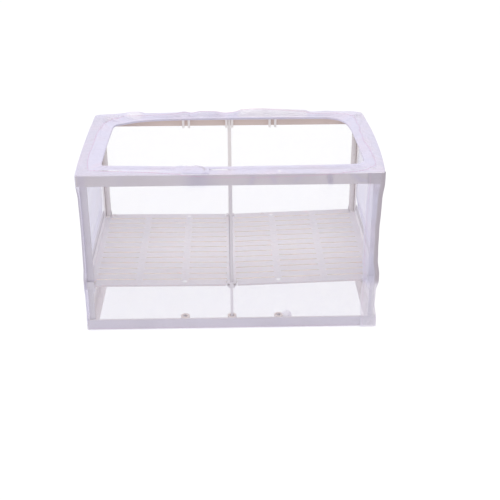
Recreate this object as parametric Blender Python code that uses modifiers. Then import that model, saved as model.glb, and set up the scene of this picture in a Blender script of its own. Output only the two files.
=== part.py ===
"""Fish nursery net: a push-fit plastic frame inside a sheer net bag, with a slotted tray in two halves.

Units are metres and +Z is up. The origin is at the centre of the floor net's underside, X runs along
the long side and the front is at -Y. Each sub-part is one named object in the nursery_net collection,
and the shapes that only cut or join are in nursery_net_cutters.
"""

import math

import bmesh
import bpy
from mathutils import Vector

MM = 0.001

# Box over the net
BOX_WIDTH = 260.0 * MM
BOX_DEPTH = 155.0 * MM
BOX_HEIGHT = 150.0 * MM

# Gap between pieces that touch, and the running gap beside a moving piece
SEAT_GAP = 0.3 * MM
MOVING_GAP = 0.5 * MM
OVERRUN = 1.0 * MM
EMBED = 0.4 * MM

# Net bag
NET_THICKNESS = 0.6 * MM
NET_STRAND = 0.8 * MM
NET_SELVEDGE = 3.0 * MM
SEAM_BAND_WIDTH = 14.5 * MM
WALL_LONG_GAP_COUNT = 13
WALL_SIDE_GAP_COUNT = 8
WALL_UPRIGHT_GAP_COUNT = 7
FLOOR_LONG_GAP_COUNT = 10
FLOOR_SIDE_GAP_COUNT = 6

# Rim folded in over the top rails, and the elastic under its edge
FOLD_LEFT = 20.5 * MM
FOLD_RIGHT = 19.5 * MM
FOLD_FRONT = 18.5 * MM
FOLD_BACK = 13.5 * MM
OPENING_RADIUS_FRONT = 8.0 * MM
OPENING_RADIUS_BACK = 18.0 * MM
CORNER_STEPS = 6
ELASTIC_DIAMETER = 1.6 * MM
ELASTIC_INSET = 2.2 * MM

# Rails, an angle section with the flange turned inwards
RAIL_HEIGHT = 9.6 * MM
RAIL_WALL = 1.8 * MM
RAIL_FLANGE = 8.0 * MM

# Prong pairs under the top rails and round sockets on the bottom rails
STATION_SPACING = 42.0 * MM
PRONG_DIAMETER = 2.4 * MM
PRONG_PITCH = 5.5 * MM
PRONG_DROP = 1.4 * MM
PRONG_INSET = 4.5 * MM
PRONG_TIP_CHAMFER = 0.5 * MM
SOCKET_DIAMETER = 8.0 * MM
SOCKET_BORE = 4.0 * MM
SOCKET_RISE = 0.4 * MM
SOCKET_LIFT = 0.2 * MM
SOCKET_FLOOR = 0.4 * MM
ROUND_SIDES = 12
SOCKET_SIDES = 20

# Corner posts, an angle section inside the rails
POST_WALL = 1.6 * MM
UPPER_POST_LEG = 6.2 * MM
LOWER_POST_LEG = 4.8 * MM

# Centre posts at the front and the back
CENTRE_POST_FRONT_WIDTH = 2.6 * MM
CENTRE_POST_BACK_WIDTH = 3.4 * MM
CENTRE_POST_TONGUE = 2.2 * MM
CENTRE_POST_THICKNESS = 1.8 * MM
CENTRE_ROD_DIAMETER = 2.4 * MM

# Tray heights, at the top face
TRAY_TOP_LEFT = 45.5 * MM
TRAY_TOP_CENTRE = 44.5 * MM
TRAY_TOP_RIGHT = 48.5 * MM

# Tray rails at the two ends, with a collar round each post joint
COLLAR_HEIGHT = 7.0 * MM
COLLAR_RETURN = 8.6 * MM
LEDGE_THICKNESS = 1.6 * MM
LEDGE_WIDTH = 6.3 * MM

# Tray panels
PANEL_THICKNESS = 1.6 * MM
PANEL_EDGE_GAP = 1.1 * MM
PEG_DIAMETER = 1.4 * MM
PEG_LENGTH = 3.4 * MM
HINGE_OFFSET = 2.6 * MM
HINGE_OVERHANG = 1.0 * MM
SLOT_COLUMNS = 3
SLOT_ROWS = 13
SLOT_WIDTH = 2.0 * MM
SLOT_BAR = 6.5 * MM
SLOT_INNER_BORDER = 4.0 * MM
SLOT_OUTER_BORDER = 7.05 * MM
SLOT_EDGE_BORDER = 10.7 * MM
HOLE_DIAMETER = 3.0 * MM
HOLE_EDGE_INSET = 6.0 * MM
NUB_RADIUS = 1.8 * MM
NUB_SINK = 0.4 * MM
NUB_EDGE_INSET = 2.5 * MM
NUB_LEFT_END_INSET = 10.3 * MM
NUB_RIGHT_PLACE = 32.0 * MM

# Crossbar under the seam of the two panels
CROSSBAR_WIDTH = 5.5 * MM
CROSSBAR_HEIGHT = 2.0 * MM
LUG_RADIUS = 2.0 * MM
LUG_LENGTH = 4.6 * MM
LUG_STEPS = 8

# Places worked out from the sizes above
HALF_WIDTH = BOX_WIDTH / 2
HALF_DEPTH = BOX_DEPTH / 2
FRAME_X = HALF_WIDTH - NET_THICKNESS - SEAT_GAP
FRAME_Y = HALF_DEPTH - NET_THICKNESS - SEAT_GAP
FRAME_LOW = NET_THICKNESS + SEAT_GAP
FRAME_TOP = BOX_HEIGHT - NET_THICKNESS - SEAT_GAP
POST_X = FRAME_X - RAIL_WALL - SEAT_GAP
POST_Y = FRAME_Y - RAIL_WALL - SEAT_GAP
UNDER_FLANGE = FRAME_TOP - RAIL_WALL - SEAT_GAP
OVER_FLANGE = FRAME_LOW + RAIL_WALL + SEAT_GAP
WINDOW_LOW = FRAME_LOW + RAIL_HEIGHT
WINDOW_TOP = FRAME_TOP - RAIL_HEIGHT
WINDOW_X = POST_X - UPPER_POST_LEG
WINDOW_Y = POST_Y - UPPER_POST_LEG
MITRE_SETBACK = SEAT_GAP / math.sqrt(2)
SOCKET_INSET = RAIL_WALL + SOCKET_DIAMETER / 2 - EMBED
SOCKET_Y = FRAME_Y - SOCKET_INSET

# Hinge of the panels
HINGE_Z = TRAY_TOP_CENTRE - PANEL_THICKNESS / 2
SWING_RADIUS = math.hypot(HINGE_OVERHANG, PANEL_THICKNESS / 2)
CROSSBAR_TOP = -(SWING_RADIUS + SEAT_GAP)
CROSSBAR_LOW = CROSSBAR_TOP - CROSSBAR_HEIGHT
RIB_HALF_WIDTH = HINGE_OFFSET - SWING_RADIUS - SEAT_GAP
PANEL_END = FRAME_X - RAIL_WALL - MOVING_GAP
PANEL_REACH = PANEL_END - HINGE_OFFSET
PANEL_HALF_DEPTH = FRAME_Y - PANEL_EDGE_GAP
LUG_INNER = POST_Y - LUG_LENGTH

# Slots spread over each panel between its borders
SLOT_FIELD = PANEL_END - SLOT_INNER_BORDER - SLOT_OUTER_BORDER
SLOT_LENGTH = (SLOT_FIELD - SLOT_BAR * (SLOT_COLUMNS - 1)) / SLOT_COLUMNS
SLOT_PITCH = (PANEL_HALF_DEPTH - SLOT_EDGE_BORDER) * 2 / (SLOT_ROWS - 1)

# Front, back, left and right, with the turn about Z that brings a rail's inner side inwards
LONG_SIDES = (("front", -1, 0.0), ("back", 1, math.pi))
SHORT_SIDES = (("left", -1, -math.pi / 2), ("right", 1, math.pi / 2))
TRAY_TOPS = {"left": TRAY_TOP_LEFT, "right": TRAY_TOP_RIGHT}
NUB_PLACES = {"left": PANEL_END - NUB_LEFT_END_INSET, "right": NUB_RIGHT_PLACE}

# Colours seen in the photograph
PLASTIC_COLOUR = (0.80, 0.77, 0.81, 1.0)
TRAY_COLOUR = (0.72, 0.68, 0.72, 1.0)
NET_COLOUR = (0.82, 0.80, 0.90, 1.0)
ELASTIC_COLOUR = (0.88, 0.86, 0.90, 1.0)
PLASTIC_ROUGHNESS = 0.45
FABRIC_ROUGHNESS = 0.85


def clear_scene():
    """Remove every object that the start-up file holds."""
    for obj in list(bpy.data.objects):
        bpy.data.objects.remove(obj, do_unlink=True)


def new_collection(name):
    """Make a collection in the scene."""
    collection = bpy.data.collections.new(name)
    bpy.context.scene.collection.children.link(collection)
    return collection


def new_material(name, colour, roughness):
    """Make a Principled material with one colour."""
    material = bpy.data.materials.new(name)
    material.use_nodes = True
    shader = material.node_tree.nodes["Principled BSDF"]
    shader.inputs["Base Color"].default_value = colour
    shader.inputs["Roughness"].default_value = roughness
    shader.inputs["Metallic"].default_value = 0.0
    material.diffuse_color = colour
    return material


def add_part(name, data, colour, roughness):
    """Put mesh or curve data into the parts collection under its own material."""
    obj = bpy.data.objects.new(name, data)
    data.materials.append(new_material(name, colour, roughness))
    PARTS.objects.link(obj)
    return obj


def add_plastic(name, data):
    """Add a moulded piece of the frame."""
    return add_part(name, data, PLASTIC_COLOUR, PLASTIC_ROUGHNESS)


def add_fabric(name, data):
    """Add a piece of the net bag."""
    return add_part(name, data, NET_COLOUR, FABRIC_ROUGHNESS)


def add_cutter(name, data, parent):
    """Add a hidden helper that moves with the piece it cuts or joins."""
    obj = bpy.data.objects.new(name, data)
    CUTTERS.objects.link(obj)
    obj.parent = parent
    obj.hide_render = True
    obj.display_type = "WIRE"
    return obj


def add_boolean(obj, cutter, operation):
    """Cut or join a piece with a helper."""
    modifier = obj.modifiers.new(cutter.name, "BOOLEAN")
    modifier.object = cutter
    modifier.operation = operation
    modifier.solver = "EXACT"


def finish_mesh(bm, name, smooth=False):
    """Turn a bmesh into a mesh with its faces pointing out."""
    bmesh.ops.recalc_face_normals(bm, faces=bm.faces)
    mesh = bpy.data.meshes.new(name)
    bm.to_mesh(mesh)
    bm.free()
    if smooth:
        mesh.shade_smooth()
        mesh.set_sharp_from_angle(angle=math.radians(40.0))
    return mesh


def add_prism(bm, outline, low, high):
    """Extrude a flat outline from one height to another."""
    face = bm.faces.new([bm.verts.new((x, y, low)) for x, y in outline])
    grown = bmesh.ops.extrude_face_region(bm, geom=[face])["geom"]
    moved = [item for item in grown if isinstance(item, bmesh.types.BMVert)]
    bmesh.ops.translate(bm, verts=moved, vec=Vector((0.0, 0.0, high - low)))


def prism_mesh(name, outline, low, high):
    """Make a mesh by extruding one outline along Z."""
    bm = bmesh.new()
    add_prism(bm, outline, low, high)
    return finish_mesh(bm, name)


def add_cylinder(bm, centre, radius, low, high, sides):
    """Add a closed cylinder along Z and return its vertices."""
    made = bmesh.ops.create_cone(
        bm, cap_ends=True, segments=sides, radius1=radius, radius2=radius, depth=high - low
    )
    middle = Vector((centre[0], centre[1], (low + high) / 2))
    bmesh.ops.translate(bm, verts=made["verts"], vec=middle)
    return made["verts"]


def cell_plate(name, x_lines, y_lines, is_open):
    """Make a flat sheet on uneven grid lines, without the cells that is_open picks."""
    columns = len(x_lines) - 1
    rows = len(y_lines) - 1
    bm = bmesh.new()
    bmesh.ops.create_grid(bm, x_segments=columns, y_segments=rows, size=1.0)
    for vert in bm.verts:
        column = round((vert.co.x + 1.0) / 2 * columns)
        row = round((vert.co.y + 1.0) / 2 * rows)
        vert.co.x = x_lines[column]
        vert.co.y = y_lines[row]
    dropped = [face for face in bm.faces if is_open(*face.calc_center_median().xy)]
    bmesh.ops.delete(bm, geom=dropped, context="FACES")
    return finish_mesh(bm, name)


def thicken(obj, thickness):
    """Give a flat sheet its thickness, half to each side."""
    modifier = obj.modifiers.new("thickness", "SOLIDIFY")
    modifier.thickness = thickness
    modifier.offset = 0.0


def rail_profile(flange_on_top):
    """Give the rail's angle section as inward and upward distances."""
    if flange_on_top:
        inner_low = RAIL_HEIGHT - RAIL_WALL
        return (
            (0.0, 0.0),
            (RAIL_WALL, 0.0),
            (RAIL_WALL, inner_low),
            (RAIL_FLANGE, inner_low),
            (RAIL_FLANGE, RAIL_HEIGHT),
            (0.0, RAIL_HEIGHT),
        )
    return (
        (0.0, 0.0),
        (RAIL_FLANGE, 0.0),
        (RAIL_FLANGE, RAIL_WALL),
        (RAIL_WALL, RAIL_WALL),
        (RAIL_WALL, RAIL_HEIGHT),
        (0.0, RAIL_HEIGHT),
    )


def rail_mesh(name, half_length, flange_on_top):
    """Make a rail along X with mitred ends, its outer face on the XZ plane."""
    bm = bmesh.new()
    ends = []
    for inward, up in rail_profile(flange_on_top):
        end = half_length - inward - MITRE_SETBACK
        ends.append(bm.verts.new((-end, inward, up)))
    face = bm.faces.new(ends)
    grown = bmesh.ops.extrude_face_region(bm, geom=[face])["geom"]
    for item in grown:
        if isinstance(item, bmesh.types.BMVert):
            item.co.x = -item.co.x
    return finish_mesh(bm, name)


def stations():
    """Give the places along a long rail that carry prongs or a socket."""
    return (-STATION_SPACING, 0.0, STATION_SPACING)


def prong_mesh(name):
    """Make the pins that hang in pairs from a top rail's flange."""
    bm = bmesh.new()
    radius = PRONG_DIAMETER / 2
    top = RAIL_HEIGHT - RAIL_WALL + EMBED
    for station in stations():
        for side in (-1, 1):
            place = (station + side * PRONG_PITCH / 2, PRONG_INSET)
            add_cylinder(bm, place, radius, -PRONG_DROP, top, ROUND_SIDES)
    tips = [edge for edge in bm.edges if max(vert.co.z for vert in edge.verts) < -PRONG_DROP / 2]
    bmesh.ops.bevel(bm, geom=tips, offset=PRONG_TIP_CHAMFER, segments=1, affect="EDGES")
    return finish_mesh(bm, name, smooth=True)


def socket_mesh(name, radius, low, high):
    """Make a row of round shapes, one at each socket of a bottom rail."""
    bm = bmesh.new()
    for station in stations():
        add_cylinder(bm, (station, SOCKET_INSET), radius, low, high, SOCKET_SIDES)
    return finish_mesh(bm, name, smooth=True)


def add_prongs(rail):
    """Join the prong pairs to a top rail."""
    pins = add_cutter(rail.name + "_prongs", prong_mesh(rail.name + "_prongs"), rail)
    add_boolean(rail, pins, "UNION")


def add_sockets(rail):
    """Join the round sockets to a bottom rail and bore them."""
    top = RAIL_HEIGHT + SOCKET_RISE
    floor = RAIL_WALL + SOCKET_FLOOR
    boss_name = rail.name + "_sockets"
    bosses = add_cutter(boss_name, socket_mesh(boss_name, SOCKET_DIAMETER / 2, SOCKET_LIFT, top), rail)
    add_boolean(rail, bosses, "UNION")
    bore_name = rail.name + "_bores"
    bores = add_cutter(bore_name, socket_mesh(bore_name, SOCKET_BORE / 2, floor, top + OVERRUN), rail)
    add_boolean(rail, bores, "DIFFERENCE")


def build_rails():
    """Make the four top rails and the four bottom rails."""
    levels = (("top", FRAME_TOP - RAIL_HEIGHT, True), ("bottom", FRAME_LOW, False))
    for level, height, flange_on_top in levels:
        for side, sign, turn in LONG_SIDES:
            name = level + "_" + side + "_rail"
            rail = add_plastic(name, rail_mesh(name, FRAME_X, flange_on_top))
            rail.location = (0.0, sign * FRAME_Y, height)
            rail.rotation_euler = (0.0, 0.0, turn)
            if flange_on_top:
                add_prongs(rail)
            else:
                add_sockets(rail)
        for side, sign, turn in SHORT_SIDES:
            name = level + "_" + side + "_rail"
            rail = add_plastic(name, rail_mesh(name, FRAME_Y, flange_on_top))
            rail.location = (sign * FRAME_X, 0.0, height)
            rail.rotation_euler = (0.0, 0.0, turn)


def tray_tilt(side):
    """Give the rise of a panel from the hinge to its outer end, as an angle."""
    return math.atan2(TRAY_TOPS[side] - TRAY_TOP_CENTRE, PANEL_REACH)


def tray_rail_low(side):
    """Give the lower edge of an end rail, whose ledge seats the panel."""
    tilt = tray_tilt(side)
    ledge_reach = FRAME_X - RAIL_WALL - LEDGE_WIDTH - HINGE_OFFSET
    underside = HINGE_Z + ledge_reach * math.tan(tilt) - PANEL_THICKNESS / 2 / math.cos(tilt)
    return underside - SEAT_GAP - LEDGE_THICKNESS


def angle_outline(leg, sign_x, sign_y):
    """Give an angle section's outline, its corner at the origin and its legs turned inwards."""
    corner = ((0.0, 0.0), (leg, 0.0), (leg, POST_WALL), (POST_WALL, POST_WALL), (POST_WALL, leg), (0.0, leg))
    return [(-sign_x * along, -sign_y * across) for along, across in corner]


def build_corner_posts():
    """Make an upper and a lower post in each corner, meeting inside the tray rail's collar."""
    for long_side, sign_y, _ in LONG_SIDES:
        for short_side, sign_x, _ in SHORT_SIDES:
            joint = tray_rail_low(short_side) + COLLAR_HEIGHT / 2
            corner = long_side + "_" + short_side + "_post"
            runs = (
                ("upper_" + corner, UPPER_POST_LEG, joint + SEAT_GAP / 2, UNDER_FLANGE),
                ("lower_" + corner, LOWER_POST_LEG, OVER_FLANGE, joint - SEAT_GAP / 2),
            )
            for name, leg, low, high in runs:
                outline = angle_outline(leg, sign_x, sign_y)
                post = add_plastic(name, prism_mesh(name, outline, 0.0, high - low))
                post.location = (sign_x * POST_X, sign_y * POST_Y, low)


def tray_rail_outline():
    """Give the plan of a tray rail: a wall along the end that turns in round both posts."""
    inner_y = FRAME_Y - RAIL_WALL
    return (
        (0.0, -FRAME_Y),
        (COLLAR_RETURN, -FRAME_Y),
        (COLLAR_RETURN, -inner_y),
        (RAIL_WALL, -inner_y),
        (RAIL_WALL, inner_y),
        (COLLAR_RETURN, inner_y),
        (COLLAR_RETURN, FRAME_Y),
        (0.0, FRAME_Y),
    )


def ledge_mesh(name, inward):
    """Make the ledge that a panel's end rests on."""
    start = RAIL_WALL - EMBED
    stop = RAIL_WALL + LEDGE_WIDTH
    reach = WINDOW_Y - SEAT_GAP
    outline = ((start, -reach), (stop, -reach), (stop, reach), (start, reach))
    return prism_mesh(name, [(inward * x, y) for x, y in outline], 0.0, LEDGE_THICKNESS)


def build_tray_rails():
    """Make the rail at each end of the tray."""
    for side, sign, _ in SHORT_SIDES:
        name = side + "_tray_rail"
        outline = [(-sign * x, y) for x, y in tray_rail_outline()]
        rail = add_plastic(name, prism_mesh(name, outline, 0.0, COLLAR_HEIGHT))
        rail.location = (sign * FRAME_X, 0.0, tray_rail_low(side))
        ledge = add_cutter(name + "_ledge", ledge_mesh(name + "_ledge", -sign), rail)
        add_boolean(rail, ledge, "UNION")


def centre_post_outline(width, low):
    """Give the front view of an upper centre post, whose tongue fits between two prongs."""
    shoulder = WINDOW_TOP - PRONG_DROP - SEAT_GAP - low
    top = UNDER_FLANGE - low
    half = width / 2
    tongue = CENTRE_POST_TONGUE / 2
    return (
        (-half, 0.0),
        (half, 0.0),
        (half, shoulder),
        (tongue, shoulder),
        (tongue, top),
        (-tongue, top),
        (-tongue, shoulder),
        (-half, shoulder),
    )


def build_centre_posts():
    """Make the upper centre posts between the prongs and the lower ones in the middle sockets."""
    widths = {"front": CENTRE_POST_FRONT_WIDTH, "back": CENTRE_POST_BACK_WIDTH}
    upper_low = HINGE_Z + LUG_RADIUS + SEAT_GAP
    rod_low = FRAME_LOW + RAIL_WALL + SOCKET_FLOOR + SEAT_GAP
    rod_high = HINGE_Z + CROSSBAR_LOW - SEAT_GAP
    for side, sign, _ in LONG_SIDES:
        name = "upper_" + side + "_centre_post"
        outline = centre_post_outline(widths[side], upper_low)
        half = CENTRE_POST_THICKNESS / 2
        post = add_plastic(name, prism_mesh(name, outline, -half, half))
        post.location = (0.0, sign * (FRAME_Y - PRONG_INSET), upper_low)
        post.rotation_euler = (math.pi / 2, 0.0, 0.0)
        name = "lower_" + side + "_centre_post"
        bm = bmesh.new()
        add_cylinder(bm, (0.0, 0.0), CENTRE_ROD_DIAMETER / 2, 0.0, rod_high - rod_low, ROUND_SIDES)
        rod = add_plastic(name, finish_mesh(bm, name, smooth=True))
        rod.location = (0.0, sign * SOCKET_Y, rod_low)


def crossbar_outline():
    """Give the crossbar's section: a flat bar with a rib between the two panels."""
    half = CROSSBAR_WIDTH / 2
    top = PANEL_THICKNESS / 2
    return (
        (-half, CROSSBAR_LOW),
        (half, CROSSBAR_LOW),
        (half, CROSSBAR_TOP),
        (RIB_HALF_WIDTH, CROSSBAR_TOP),
        (RIB_HALF_WIDTH, top),
        (-RIB_HALF_WIDTH, top),
        (-RIB_HALF_WIDTH, CROSSBAR_TOP),
        (-half, CROSSBAR_TOP),
    )


def lug_outline():
    """Give a lug's outline: two round ends about the two hinge axes."""
    points = []
    for side in (1, -1):
        for step in range(LUG_STEPS + 1):
            angle = math.pi * (step / LUG_STEPS - 1 / 2)
            across = HINGE_OFFSET + LUG_RADIUS * math.cos(angle)
            points.append((side * across, side * LUG_RADIUS * math.sin(angle)))
    return points


def build_crossbar():
    """Make the bar under the panels' seam, with a bored lug at each end for their pegs."""
    name = "centre_crossbar"
    half_length = POST_Y - EMBED
    bar = add_plastic(name, prism_mesh(name, crossbar_outline(), -half_length, half_length))
    bar.location = (0.0, 0.0, HINGE_Z)
    bar.rotation_euler = (math.pi / 2, 0.0, 0.0)
    bm = bmesh.new()
    add_prism(bm, lug_outline(), LUG_INNER, POST_Y)
    add_prism(bm, lug_outline(), -POST_Y, -LUG_INNER)
    lugs = add_cutter(name + "_lugs", finish_mesh(bm, name + "_lugs", smooth=True), bar)
    add_boolean(bar, lugs, "UNION")
    bm = bmesh.new()
    reach = POST_Y + OVERRUN
    for side in (-1, 1):
        bore = PEG_DIAMETER / 2 + SEAT_GAP
        add_cylinder(bm, (side * HINGE_OFFSET, 0.0), bore, -reach, reach, ROUND_SIDES)
    bores = add_cutter(name + "_bores", finish_mesh(bm, name + "_bores", smooth=True), bar)
    add_boolean(bar, bores, "DIFFERENCE")


def slot_spans():
    """Give each slot column's start and end, measured outwards from the box's middle."""
    pitch = SLOT_LENGTH + SLOT_BAR
    starts = [SLOT_INNER_BORDER + pitch * column for column in range(SLOT_COLUMNS)]
    return [(start, start + SLOT_LENGTH) for start in starts]


def slot_rows():
    """Give the middle of each row of slots."""
    return [SLOT_PITCH * (row - (SLOT_ROWS - 1) / 2) for row in range(SLOT_ROWS)]


def panel_mesh(name, sign):
    """Make a panel's flat sheet with its slots and corner notches, the hinge axis at the origin."""
    post_notch_x = WINDOW_X - MOVING_GAP
    post_notch_y = WINDOW_Y - MOVING_GAP
    lug_notch_x = HINGE_OFFSET + LUG_RADIUS + MOVING_GAP
    lug_notch_y = LUG_INNER - SEAT_GAP
    columns = {HINGE_OFFSET - HINGE_OVERHANG, lug_notch_x, post_notch_x, PANEL_END}
    for span in slot_spans():
        columns.update(span)
    rows = {side * edge for side in (-1, 1) for edge in (post_notch_y, lug_notch_y, PANEL_HALF_DEPTH)}
    for row in slot_rows():
        rows.update((row - SLOT_WIDTH / 2, row + SLOT_WIDTH / 2))

    def is_open(local_x, local_y):
        across = abs(local_x) + HINGE_OFFSET if sign * local_x > 0.0 else HINGE_OFFSET - abs(local_x)
        if across > post_notch_x and abs(local_y) > post_notch_y:
            return True
        if across < lug_notch_x and abs(local_y) > lug_notch_y:
            return True
        in_column = any(low < across < high for low, high in slot_spans())
        return in_column and any(abs(local_y - row) < SLOT_WIDTH / 2 for row in slot_rows())

    x_lines = sorted(sign * (column - HINGE_OFFSET) for column in columns)
    return cell_plate(name, x_lines, sorted(rows), is_open)


def peg_mesh(name):
    """Make the two pegs that turn in the crossbar's lugs, along Z."""
    bm = bmesh.new()
    start = LUG_INNER - SEAT_GAP
    for side in (-1, 1):
        low, high = sorted((side * (start - OVERRUN), side * (start + PEG_LENGTH)))
        add_cylinder(bm, (0.0, 0.0), PEG_DIAMETER / 2, low, high, ROUND_SIDES)
    return finish_mesh(bm, name, smooth=True)


def hole_mesh(name, sign):
    """Make the cutters for a panel's two round holes, between its first two slot columns."""
    spans = slot_spans()
    across = sign * ((spans[0][1] + spans[1][0]) / 2 - HINGE_OFFSET)
    along = PANEL_HALF_DEPTH - HOLE_EDGE_INSET
    radius = HOLE_DIAMETER / 2
    bm = bmesh.new()
    for side in (-1, 1):
        add_cylinder(bm, (across, side * along), radius, -PANEL_THICKNESS, PANEL_THICKNESS, ROUND_SIDES)
    return finish_mesh(bm, name, smooth=True)


def nub_mesh(name, place):
    """Make the small round nub near a panel's back edge."""
    bm = bmesh.new()
    made = bmesh.ops.create_uvsphere(
        bm, u_segments=ROUND_SIDES, v_segments=ROUND_SIDES // 2, radius=NUB_RADIUS
    )
    centre = Vector((place, PANEL_HALF_DEPTH - NUB_EDGE_INSET, PANEL_THICKNESS / 2 - NUB_SINK))
    bmesh.ops.translate(bm, verts=made["verts"], vec=centre)
    bmesh.ops.bisect_plane(
        bm, geom=bm.verts[:] + bm.edges[:] + bm.faces[:], plane_co=(0.0, 0.0, 0.0), plane_no=(0.0, 0.0, 1.0),
        clear_inner=True,
    )
    bmesh.ops.holes_fill(bm, edges=[edge for edge in bm.edges if edge.is_boundary])
    return finish_mesh(bm, name, smooth=True)


def build_panels():
    """Make the two slotted halves of the tray on their hinge axes."""
    for side, sign, _ in SHORT_SIDES:
        name = side + "_tray_panel"
        panel = add_part(name, panel_mesh(name, sign), TRAY_COLOUR, PLASTIC_ROUGHNESS)
        panel.location = (sign * HINGE_OFFSET, 0.0, HINGE_Z)
        panel.rotation_euler = (0.0, -sign * tray_tilt(side), 0.0)
        thicken(panel, PANEL_THICKNESS)
        pegs = add_cutter(name + "_pegs", peg_mesh(name + "_pegs"), panel)
        pegs.rotation_euler = (math.pi / 2, 0.0, 0.0)
        add_boolean(panel, pegs, "UNION")
        nub_place = sign * (NUB_PLACES[side] - HINGE_OFFSET)
        nub = add_cutter(name + "_nub", nub_mesh(name + "_nub", nub_place), panel)
        add_boolean(panel, nub, "UNION")
        holes = add_cutter(name + "_holes", hole_mesh(name + "_holes", sign), panel)
        add_boolean(panel, holes, "DIFFERENCE")


def window_lines(low, high, window_low, window_high, gaps):
    """Give grid lines for a border, a row of equal gaps with strands between, and a border."""
    opening = (window_high - window_low - NET_STRAND * (gaps - 1)) / gaps
    lines = [low]
    for gap in range(gaps):
        start = window_low + gap * (opening + NET_STRAND)
        lines.extend((start, start + opening))
    lines.append(high)
    return lines


def net_mesh(name, x_lines, y_lines):
    """Make a flat net: bands at its edges and strands between the gaps."""

    def in_gap(place, lines):
        cell = sum(1 for line in lines if line < place) - 1
        return cell % 2 == 1

    return cell_plate(name, x_lines, y_lines, lambda x, y: in_gap(x, x_lines) and in_gap(y, y_lines))


def add_net(name, x_lines, y_lines, location, rotation):
    """Add one flat net of the bag in its place."""
    net = add_fabric(name, net_mesh(name, x_lines, y_lines))
    net.location = location
    net.rotation_euler = rotation
    thicken(net, NET_THICKNESS)


def build_nets():
    """Make the bag's four walls, its floor and the doubled seam band at the front right."""
    upright = (math.pi / 2, 0.0, 0.0)
    sideways = (math.pi / 2, 0.0, math.pi / 2)
    wall_low = NET_THICKNESS + SEAT_GAP
    wall_top = BOX_HEIGHT - NET_THICKNESS - SEAT_GAP
    half_net = NET_THICKNESS / 2
    up = window_lines(wall_low, wall_top, WINDOW_LOW, WINDOW_TOP, WALL_UPRIGHT_GAP_COUNT)
    band_start = HALF_WIDTH - SEAM_BAND_WIDTH
    front_end = band_start - SEAT_GAP
    front_window = front_end - NET_SELVEDGE
    front = window_lines(-HALF_WIDTH, front_end, -WINDOW_X, front_window, WALL_LONG_GAP_COUNT)
    back = window_lines(-HALF_WIDTH, HALF_WIDTH, -WINDOW_X, WINDOW_X, WALL_LONG_GAP_COUNT)
    side_end = HALF_DEPTH - NET_THICKNESS - SEAT_GAP
    across = window_lines(-side_end, side_end, -WINDOW_Y, WINDOW_Y, WALL_SIDE_GAP_COUNT)
    add_net("net_front", front, up, (0.0, half_net - HALF_DEPTH, 0.0), upright)
    add_net("net_back", back, up, (0.0, HALF_DEPTH - half_net, 0.0), upright)
    add_net("net_left", across, up, (half_net - HALF_WIDTH, 0.0, 0.0), sideways)
    add_net("net_right", across, up, (HALF_WIDTH - half_net, 0.0, 0.0), sideways)
    floor_x = FRAME_X - RAIL_FLANGE
    floor_y = FRAME_Y - RAIL_FLANGE
    long_lines = window_lines(-HALF_WIDTH, HALF_WIDTH, -floor_x, floor_x, FLOOR_LONG_GAP_COUNT)
    deep_lines = window_lines(-HALF_DEPTH, HALF_DEPTH, -floor_y, floor_y, FLOOR_SIDE_GAP_COUNT)
    add_net("net_floor", long_lines, deep_lines, (0.0, 0.0, half_net), (0.0, 0.0, 0.0))
    corners = ((band_start, wall_low), (HALF_WIDTH, wall_low), (HALF_WIDTH, wall_top), (band_start, wall_top))
    band = add_fabric("net_seam_band", prism_mesh("net_seam_band", corners, -half_net, half_net))
    band.location = (0.0, half_net - HALF_DEPTH, 0.0)
    band.rotation_euler = upright


def opening_outline(grow):
    """Give the rounded outline of the top opening, grown outwards by a distance."""
    low_x = FOLD_LEFT - HALF_WIDTH - grow
    high_x = HALF_WIDTH - FOLD_RIGHT + grow
    low_y = FOLD_FRONT - HALF_DEPTH - grow
    high_y = HALF_DEPTH - FOLD_BACK + grow
    front = OPENING_RADIUS_FRONT + grow
    back = OPENING_RADIUS_BACK + grow
    corners = (
        (high_x - front, low_y + front, front, -1 / 2),
        (high_x - back, high_y - back, back, 0),
        (low_x + back, high_y - back, back, 1 / 2),
        (low_x + front, low_y + front, front, 1),
    )
    points = []
    for centre_x, centre_y, radius, start_share in corners:
        for step in range(CORNER_STEPS + 1):
            angle = math.pi * (start_share + step / CORNER_STEPS / 2)
            points.append((centre_x + radius * math.cos(angle), centre_y + radius * math.sin(angle)))
    return points


def add_loop(curve, points):
    """Add one closed straight-sided spline to a curve."""
    spline = curve.splines.new("POLY")
    spline.points.add(len(points) - 1)
    for target, (x, y) in zip(spline.points, points):
        target.co = (x, y, 0.0, 1.0)
    spline.use_cyclic_u = True


def build_rim():
    """Make the rim that folds in over the top rails, and the elastic under its edge."""
    curve = bpy.data.curves.new("net_rim", "CURVE")
    curve.dimensions = "2D"
    curve.fill_mode = "BOTH"
    curve.extrude = NET_THICKNESS / 2
    outer = (
        (-HALF_WIDTH, -HALF_DEPTH),
        (HALF_WIDTH, -HALF_DEPTH),
        (HALF_WIDTH, HALF_DEPTH),
        (-HALF_WIDTH, HALF_DEPTH),
    )
    add_loop(curve, outer)
    add_loop(curve, opening_outline(0.0))
    rim = add_fabric("net_rim", curve)
    rim.location = (0.0, 0.0, BOX_HEIGHT - NET_THICKNESS / 2)
    cord = bpy.data.curves.new("hem_elastic", "CURVE")
    cord.dimensions = "3D"
    cord.bevel_depth = ELASTIC_DIAMETER / 2
    cord.bevel_resolution = 2
    add_loop(cord, opening_outline(ELASTIC_INSET))
    elastic = add_part("hem_elastic", cord, ELASTIC_COLOUR, FABRIC_ROUGHNESS)
    elastic.location = (0.0, 0.0, FRAME_TOP - ELASTIC_DIAMETER / 2)


clear_scene()
PARTS = new_collection("nursery_net")
CUTTERS = new_collection("nursery_net_cutters")
build_rails()
build_corner_posts()
build_tray_rails()
build_centre_posts()
build_crossbar()
build_panels()
build_nets()
build_rim()
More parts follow.
